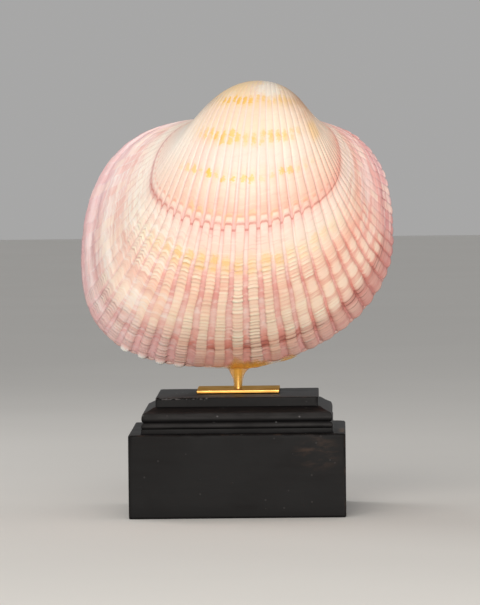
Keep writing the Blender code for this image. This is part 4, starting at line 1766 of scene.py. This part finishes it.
@dataclass
class Glue:
    """The resin that holds the shell on its rod: a flare round the rod and a smear along the edge.

    Sizes in mm.
    """

    form: GrowthForm
    rod_x: float = 0.0
    rod_y: float = 0.0
    bore: float = 1.7
    # The flare's height and radius.
    profile: tuple[Pair, ...] = (
        (51.9, 1.76), (52.4, 1.86), (53.6, 1.96), (54.8, 2.10), (56.0, 2.36), (57.0, 2.72), (57.8, 3.15),
        (58.5, 3.50), (59.0, 3.90), (59.4, 4.35), (59.7, 4.80), (59.9, 5.20),
    )
    # The smear's thickness, and how far it spreads over the edge, by the place across.
    thicknesses: tuple[Pair, ...] = (
        (-16.0, 0.0), (-14.0, 0.02), (-10.0, 0.04), (-5.0, 0.06), (-3.0, 0.5), (0.0, 1.0), (8.0, 0.9),
        (10.5, 0.6), (13.0, 0.25), (16.0, 0.1), (19.0, 0.45), (22.5, 0.62), (25.5, 0.0),
    )
    spreads: tuple[Pair, ...] = (
        (-16.0, 0.0), (-14.0, 0.5), (-10.0, 0.8), (-5.0, 0.6), (-3.0, 0.7), (0.0, 0.9), (8.0, 0.95),
        (12.0, 0.6), (15.0, 0.3), (17.5, 0.25), (19.5, 0.5), (23.0, 0.6), (25.5, 0.0),
    )
    most_film: float = 0.6
    around: int = 48
    along: int = 84
    seed: int = 5

    def build(self, material: bpy.types.Material) -> bpy.types.Object:
        """Builds the glue's object.

        Args:
            material: the resin's material.

        Returns:
            The object, riding on the body and standing for its solid.
        """
        rng = np.random.default_rng(self.seed)
        shape = bmesh.new()
        shape.verts.layers.float.new("body")
        self._add_flare(shape, rng)
        self._add_smear(shape, rng)
        bmesh.ops.recalc_face_normals(shape, faces=shape.faces)
        mesh = bpy.data.meshes.new("amber_glue")
        shape.to_mesh(mesh)
        shape.free()
        mesh.shade_smooth()
        piece = add_object("amber_glue", mesh, material)
        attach(piece, "root")
        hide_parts("glue")
        return piece

    @staticmethod
    def _add_points(shape: bmesh.types.BMesh, places: np.ndarray,
                    bodies: np.ndarray) -> list[bmesh.types.BMVert]:
        """Adds a row of points.

        Args:
            shape: the mesh that they join.
            places: their places in metres.
            bodies: how dense the resin looks at each, from 0 to 1.

        Returns:
            The row's vertices.
        """
        layer = shape.verts.layers.float["body"]
        row = [shape.verts.new(Vector(place)) for place in places.tolist()]
        for vertex, body in zip(row, bodies):
            vertex[layer] = body
        return row

    def _add_flare(self, shape: bmesh.types.BMesh, rng: np.random.Generator) -> None:
        """Adds the flare: fuller to the right at its top and lumpy lower down.

        Args:
            shape: the mesh that it joins.
            rng: the source of the lumps.
        """
        angles = np.arange(self.around) * 2.0 * math.pi / self.around
        lumps = rng.uniform(-1.0, 1.0, (4, 2))
        bore = np.full(self.around, self.bore)
        rings = []
        for height, radius in self.profile:
            swell = sum(a * np.cos((i + 1) * angles + 3.0 * b + height) for i, (a, b) in enumerate(lumps))
            radii = radius + 0.06 * swell + 0.05 * radius * smooth(height, 57.5, 59.5) * np.cos(angles)
            rise = 0.15 * smooth(height, 58.2, 59.6) * np.abs(radii * np.sin(angles))
            body = (0.28 + 0.34 * smooth(height, 52.0, 59.0)) * (1.0 - 0.85 * smooth(height, 59.0, 59.9))
            rings.append((radii, height + rise, body))
        rings.append((bore, bore * 0.0 + self.profile[-1][0], 0.62))
        rings.append((bore, bore * 0.0 + self.profile[0][0], 0.28))
        rows = []
        for radii, heights, body in rings:
            x, y = self.rod_x + radii * np.cos(angles), self.rod_y + radii * np.sin(angles)
            places = np.stack([x, y, heights], axis=1) * MM
            rows.append(self._add_points(shape, places, np.full(self.around, body)))
        for upper, lower in zip(rows, rows[1:] + rows[:1]):
            for index in range(self.around):
                beside = (index + 1) % self.around
                shape.faces.new((upper[index], upper[beside], lower[beside], lower[index]))

    def _add_smear(self, shape: bmesh.types.BMesh, rng: np.random.Generator) -> None:
        """Adds the smear: a thin film over the edge of both valves, thickest by the rod.

        Args:
            shape: the mesh that it joins.
            rng: the source of its ragged outline.
        """
        fine = np.linspace(1.2, 2.6, 1401)
        across = self.form.pole_x + self.form.outline(fine)[:, 0]
        left, right = self.thicknesses[0][0], self.thicknesses[-1][0]
        edge_x = np.linspace(right, left, self.along)
        stations = np.interp(-edge_x, -across, fine)
        ragged = np.interp(edge_x, np.linspace(left, right + 0.5, 30), rng.uniform(0.75, 1.15, 30))
        thick = np.interp(edge_x, *zip(*self.thicknesses)) * ragged
        spread = np.interp(edge_x, *zip(*self.spreads)) * ragged
        spread = spread + 0.75 * np.exp(-((edge_x + 0.8) / 2.3) ** 2)
        outer, inner = [], []
        for share in np.linspace(-1.0, 1.0, 21):
            bulge = math.sqrt(max(0.0, 1.0 - share * share))
            reach = (0.034 if share > 0.0 else 0.02) * abs(share) ** 1.3
            film = self.most_film * thick * bulge
            bodies = np.clip(thick, 0.0, 1.0) ** 0.6 * (1.0 - abs(share)) ** 0.7
            for rows, lift in ((outer, film + 0.02), (inner, film * 0.0)):
                points = self.form.row(stations, 1.0 - reach * spread, -lift, 1.0)
                if share < 0.0:
                    points = points * np.array([1.0, -1.0, 1.0])
                if abs(share) < 1e-9:
                    points[:, 1] = 0.0
                rows.append(self._add_points(shape, points, bodies))
        loops = outer + inner[::-1]
        for first, second in zip(loops, loops[1:] + loops[:1]):
            for index in range(len(first) - 1):
                shape.faces.new((first[index], first[index + 1], second[index + 1], second[index]))
        for end in (0, -1):
            shape.faces.new([row[end] for row in loops])


@dataclass
class Plinth:
    """The plinth: a block, a cove, two beads, a slope and a slab, with worn edges. Sizes in mm."""

    # Half width and height up the sloped side, from the upper bead to the slab.
    slope: tuple[Pair, ...] = ((36.3, 44.55), (34.7, 45.6), (SLAB_HALF, 45.8))
    edge: float = 0.7
    corner: float = 0.35
    bead_top: float = 42.6
    per_side: int = 92
    at_corner: int = 5
    chipped: Pair = (-34.0, -12.0)
    chipped_by: float = 0.8
    sharp_angle: float = 42.0

    @staticmethod
    def _arc(centre: Pair, reach: Pair, start: float, end: float) -> list[Pair]:
        """Points on an elliptic arc.

        Args:
            centre, reach: its middle and half sizes.
            start, end: its angles in degrees.

        Returns:
            The points.
        """
        turns = np.radians(np.linspace(start, end, 9))
        return [(centre[0] + reach[0] * math.cos(a), centre[1] + reach[1] * math.sin(a)) for a in turns]

    def _profile(self) -> np.ndarray:
        """The section from the foot up, with rounded edges.

        Returns:
            An array of (half width, height) rows.
        """
        edge, fine = self.edge, 0.5 * self.edge
        # The block's foot, face and rim.
        points = [(BLOCK_HALF - 0.6, 0.0), (BLOCK_HALF - 0.25, 0.1), (BLOCK_HALF - 0.05, 0.5)]
        points += [(BLOCK_HALF, share * BLOCK_TOP) for share in (0.03, 0.2, 0.4, 0.6, 0.8, 0.95)]
        points += self._arc((BLOCK_HALF - edge, BLOCK_TOP - edge), (edge, edge), 0, 90)
        # The ledge, the cove and the two beads.
        points += [(42.6, BLOCK_TOP), (41.0, BLOCK_TOP)]
        points += self._arc((40.5, 36.8), (0.9, 2.0), 268, 180)
        points += self._arc((39.0, 38.05), (0.8, 1.25), -90, 90)
        points += self._arc((38.8, 41.0), (0.8, 1.4), -90, 0)
        points += self._arc((38.4, 41.0), (1.2, 2.5), 12, 90)
        # The slope, and the slab's side, rim and top.
        points += self.slope
        points += [(SLAB_HALF, SLAB_TOP - share) for share in (3.0, 2.4, 1.9, 1.5, 1.1, 0.9)]
        points += self._arc((SLAB_HALF - fine, SLAB_TOP - fine), (fine, fine), 0, 90)
        points += [(SLAB_HALF - share, SLAB_TOP) for share in (0.8, 1.3, 1.9, 2.6, 4.0, 12.0)]
        return np.array(points)

    def _square(self, half: float) -> np.ndarray:
        """A square loop with slightly rounded corners.

        Args:
            half: its half width.

        Returns:
            An array of (x, y) rows, counterclockwise from the front left corner.
        """
        inner = half - self.corner
        across = np.linspace(-inner, inner, self.per_side)
        side = np.stack([across, np.full(self.per_side, -half)], axis=1)
        turns = np.radians(np.linspace(-90.0, 0.0, self.at_corner + 2)[1:-1])
        corner = np.stack([inner + self.corner * np.cos(turns), self.corner * np.sin(turns) - inner], axis=1)
        quarter = np.concatenate([side, corner])
        loops = []
        for _ in range(4):
            loops.append(quarter)
            quarter = np.stack([-quarter[:, 1], quarter[:, 0]], axis=1)
        return np.concatenate(loops)

    def _wear(self, place: Vector, half: float) -> Pair:
        """How far a point is worn back, and how much bare ground shows there.

        Args:
            place: the point.
            half: the half width of its loop.

        Returns:
            The depth and the share of bare ground.
        """
        upright = smooth(abs(half - min(abs(place.x), abs(place.y))), 1.6, 0.0)
        rims = max(smooth(abs(place.z - level), 1.0, 0.0) for level in (BLOCK_TOP, SLAB_TOP, self.bead_top))
        worn = max(0.0, noise.fractal(place * 0.22, 1.0, 2.0, 4) + 0.1) * 0.5
        depth = (0.06 + worn) * max(upright * 0.8, rims * 0.5)
        left, right = self.chipped
        rim = smooth(place.z, 48.5, 49.3) * smooth(half, 30.8, 32.6)
        if rim and place.y < -29.0 and left < place.x < right:
            fading = 0.35 * smooth(place.x, right, right - 12.0)
            jagged = noise.fractal(place * 0.9 + Vector((3.0, 5.0, 1.0)), 0.8, 2.0, 4) + fading - 0.12
            chip = smooth(jagged, 0.0, 0.35) * rim * smooth(half - SLAB_HALF, -2.4, -0.6)
            return depth + self.chipped_by * chip, min(1.0, 1.2 * chip)
        return depth, 0.0

    def build(self, material: bpy.types.Material) -> bpy.types.Object:
        """Builds the plinth's object.

        Args:
            material: the paint.

        Returns:
            The object, riding on the body and standing for its solid.
        """
        points, bare = [], []
        profile = self._profile()
        for half, height in profile:
            for x, y in self._square(half):
                depth, ground = self._wear(Vector((x, y, height)), half)
                shrink = 1.0 - depth / max(half, 1.0)
                sunk = 0.45 * depth if height > 30.0 else 0.0
                points.append(Vector((x * shrink, y * shrink, height - sunk)) * MM)
                bare.append(ground)
        count = len(points) // len(profile)
        faces = [tuple(range(count - 1, -1, -1)), tuple(range(len(points) - count, len(points)))]
        faces += wrap(0, count, len(profile))
        mesh = bpy.data.meshes.new("worn_plinth")
        mesh.from_pydata(points, [], faces)
        mesh.shade_smooth()
        mesh.set_sharp_from_angle(angle=math.radians(self.sharp_angle))
        mesh.attributes.new("bare", "FLOAT", "POINT").data.foreach_set("value", bare)
        piece = add_object("worn_plinth", mesh, material)
        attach(piece, "root")
        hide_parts("plinth")
        return piece


@dataclass
class Stand:
    """Plate, rod and ligament: the solids stay, with their finishes."""

    groups: GroupKit
    paint: bpy.types.Material

    def dress(self) -> None:
        """Gives each carried-over solid its finish."""
        finishes = {
            "plinth": self.paint,
            # The plate's lower front face, below 50.55 mm, gets painted shade.
            "stand_plate": BrassFinish(shaded_below=50.55).build(self.groups, "brushed_brass"),
            "stand_rod": BrassFinish(stretch=(1.0, 1.0, 0.08)).build(self.groups, "drawn_brass"),
            "ligament": HornFinish().build(),
        }
        for name, material in finishes.items():
            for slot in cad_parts[name].material_slots:
                slot.material = material
            LOG.info("%s: dressed in %s", name, material.name)


@dataclass
class Studio:
    """The floor, the lights and the camera. Places in mm."""

    eye: Point = (43.76, -2400.0, 183.8)
    target: Point = (1.188, 0.0, 87.52)
    roll: float = -0.0109
    sensor: float = 36.0
    # The focal length and the picture's longer side, both in the photograph's pixels.
    focal: float = 5712.4
    longer_side: float = 605.0
    warm: Colour = (1.0, 0.955, 0.89)
    cool: Colour = (1.0, 0.97, 0.94)
    surround: Colour = (0.97, 0.965, 0.96)
    surround_strength: float = 0.40
    aim: Point = (0.0, 0.0, 110.0)

    def build(self) -> None:
        """Builds the floor, the lights, the world and the camera."""
        self._floor()
        self._world()
        self._area("key", (-220.0, -1080.0, 900.0), (620.0, 620.0), 4.9, self.warm)
        self._area("fill", (160.0, -1350.0, 150.0), (760.0, 240.0), 10.8, self.warm)
        self._area("rim", (-520.0, 420.0, 520.0), (360.0, 360.0), 1.2, self.cool)
        self._camera()
        bpy.context.scene.view_settings.view_transform = "Standard"

    @staticmethod
    def _floor() -> None:
        """A broad pale floor under the plinth."""
        shape = bmesh.new()
        bmesh.ops.create_grid(shape, x_segments=8, y_segments=8, size=4.0)
        mesh = bpy.data.meshes.new("studio_floor")
        shape.to_mesh(mesh)
        shape.free()
        floor = add_object("studio_floor", mesh, FloorFinish().build())

    def _world(self) -> None:
        """An even pale surround."""
        world = bpy.data.worlds.new("studio_world")
        world.use_nodes = True
        background = world.node_tree.nodes["Background"]
        background.inputs["Color"].default_value = (*self.surround, 1.0)
        background.inputs["Strength"].default_value = self.surround_strength
        bpy.context.scene.world = world

    def _area(self, name: str, place: Point, size: Pair, power: float, colour: Colour) -> None:
        """A soft light that faces the shell.

        Args:
            name: the light's name.
            place: where it stands.
            size: its width and height, in mm.
            power: its power in watts.
            colour: its colour.
        """
        light = bpy.data.lights.new(name, "AREA")
        light.shape = "RECTANGLE"
        light.size, light.size_y = size[0] * MM, size[1] * MM
        light.energy = power
        light.color = colour
        lamp = bpy.data.objects.new(name, light)
        lamp.location = Vector(place) * MM
        aim = Vector(self.aim) * MM - lamp.location
        lamp.rotation_euler = aim.to_track_quat("-Z", "Y").to_euler()
        bpy.context.scene.collection.objects.link(lamp)

    def _camera(self) -> None:
        """A camera at the photograph's viewing angle."""
        eye, target = Vector(self.eye) * MM, Vector(self.target) * MM
        forward = (target - eye).normalized()
        right = forward.cross(Vector((0.0, 0.0, 1.0))).normalized()
        above = right.cross(forward)
        tilted_right = right * math.cos(self.roll) + above * math.sin(self.roll)
        tilted_up = above * math.cos(self.roll) - right * math.sin(self.roll)
        turn = Matrix((tilted_right, tilted_up, -forward)).transposed()
        data = bpy.data.cameras.new("front_camera")
        data.lens = self.focal / self.longer_side * self.sensor
        data.sensor_width = self.sensor
        camera = bpy.data.objects.new("front_camera", data)
        camera.matrix_world = Matrix.Translation(eye) @ turn.to_4x4()
        bpy.context.scene.collection.objects.link(camera)
        bpy.context.scene.camera = camera


def main() -> None:
    """Builds the shell, the stand and the studio."""
    logging.basicConfig(level=logging.INFO, format="%(name)s: %(message)s")
    groups = GroupKit()
    pearl = ShellFinish(ShellTints()).build()
    form, ribs = GrowthForm(), RibPattern()
    FineValve(Side.RIGHT, form, ribs, seed=11, glossy_ribs=(35, 36, 37, 38)).build(pearl)
    FineValve(Side.LEFT, form, ribs, seed=23).build(pearl)
    Glue(form).build(ResinFinish().build())
    paint = PaintFinish().build(groups)
    Plinth().build(paint)
    Stand(groups, paint).dress()
    Studio().build()


if __name__ == "__main__":
    main()
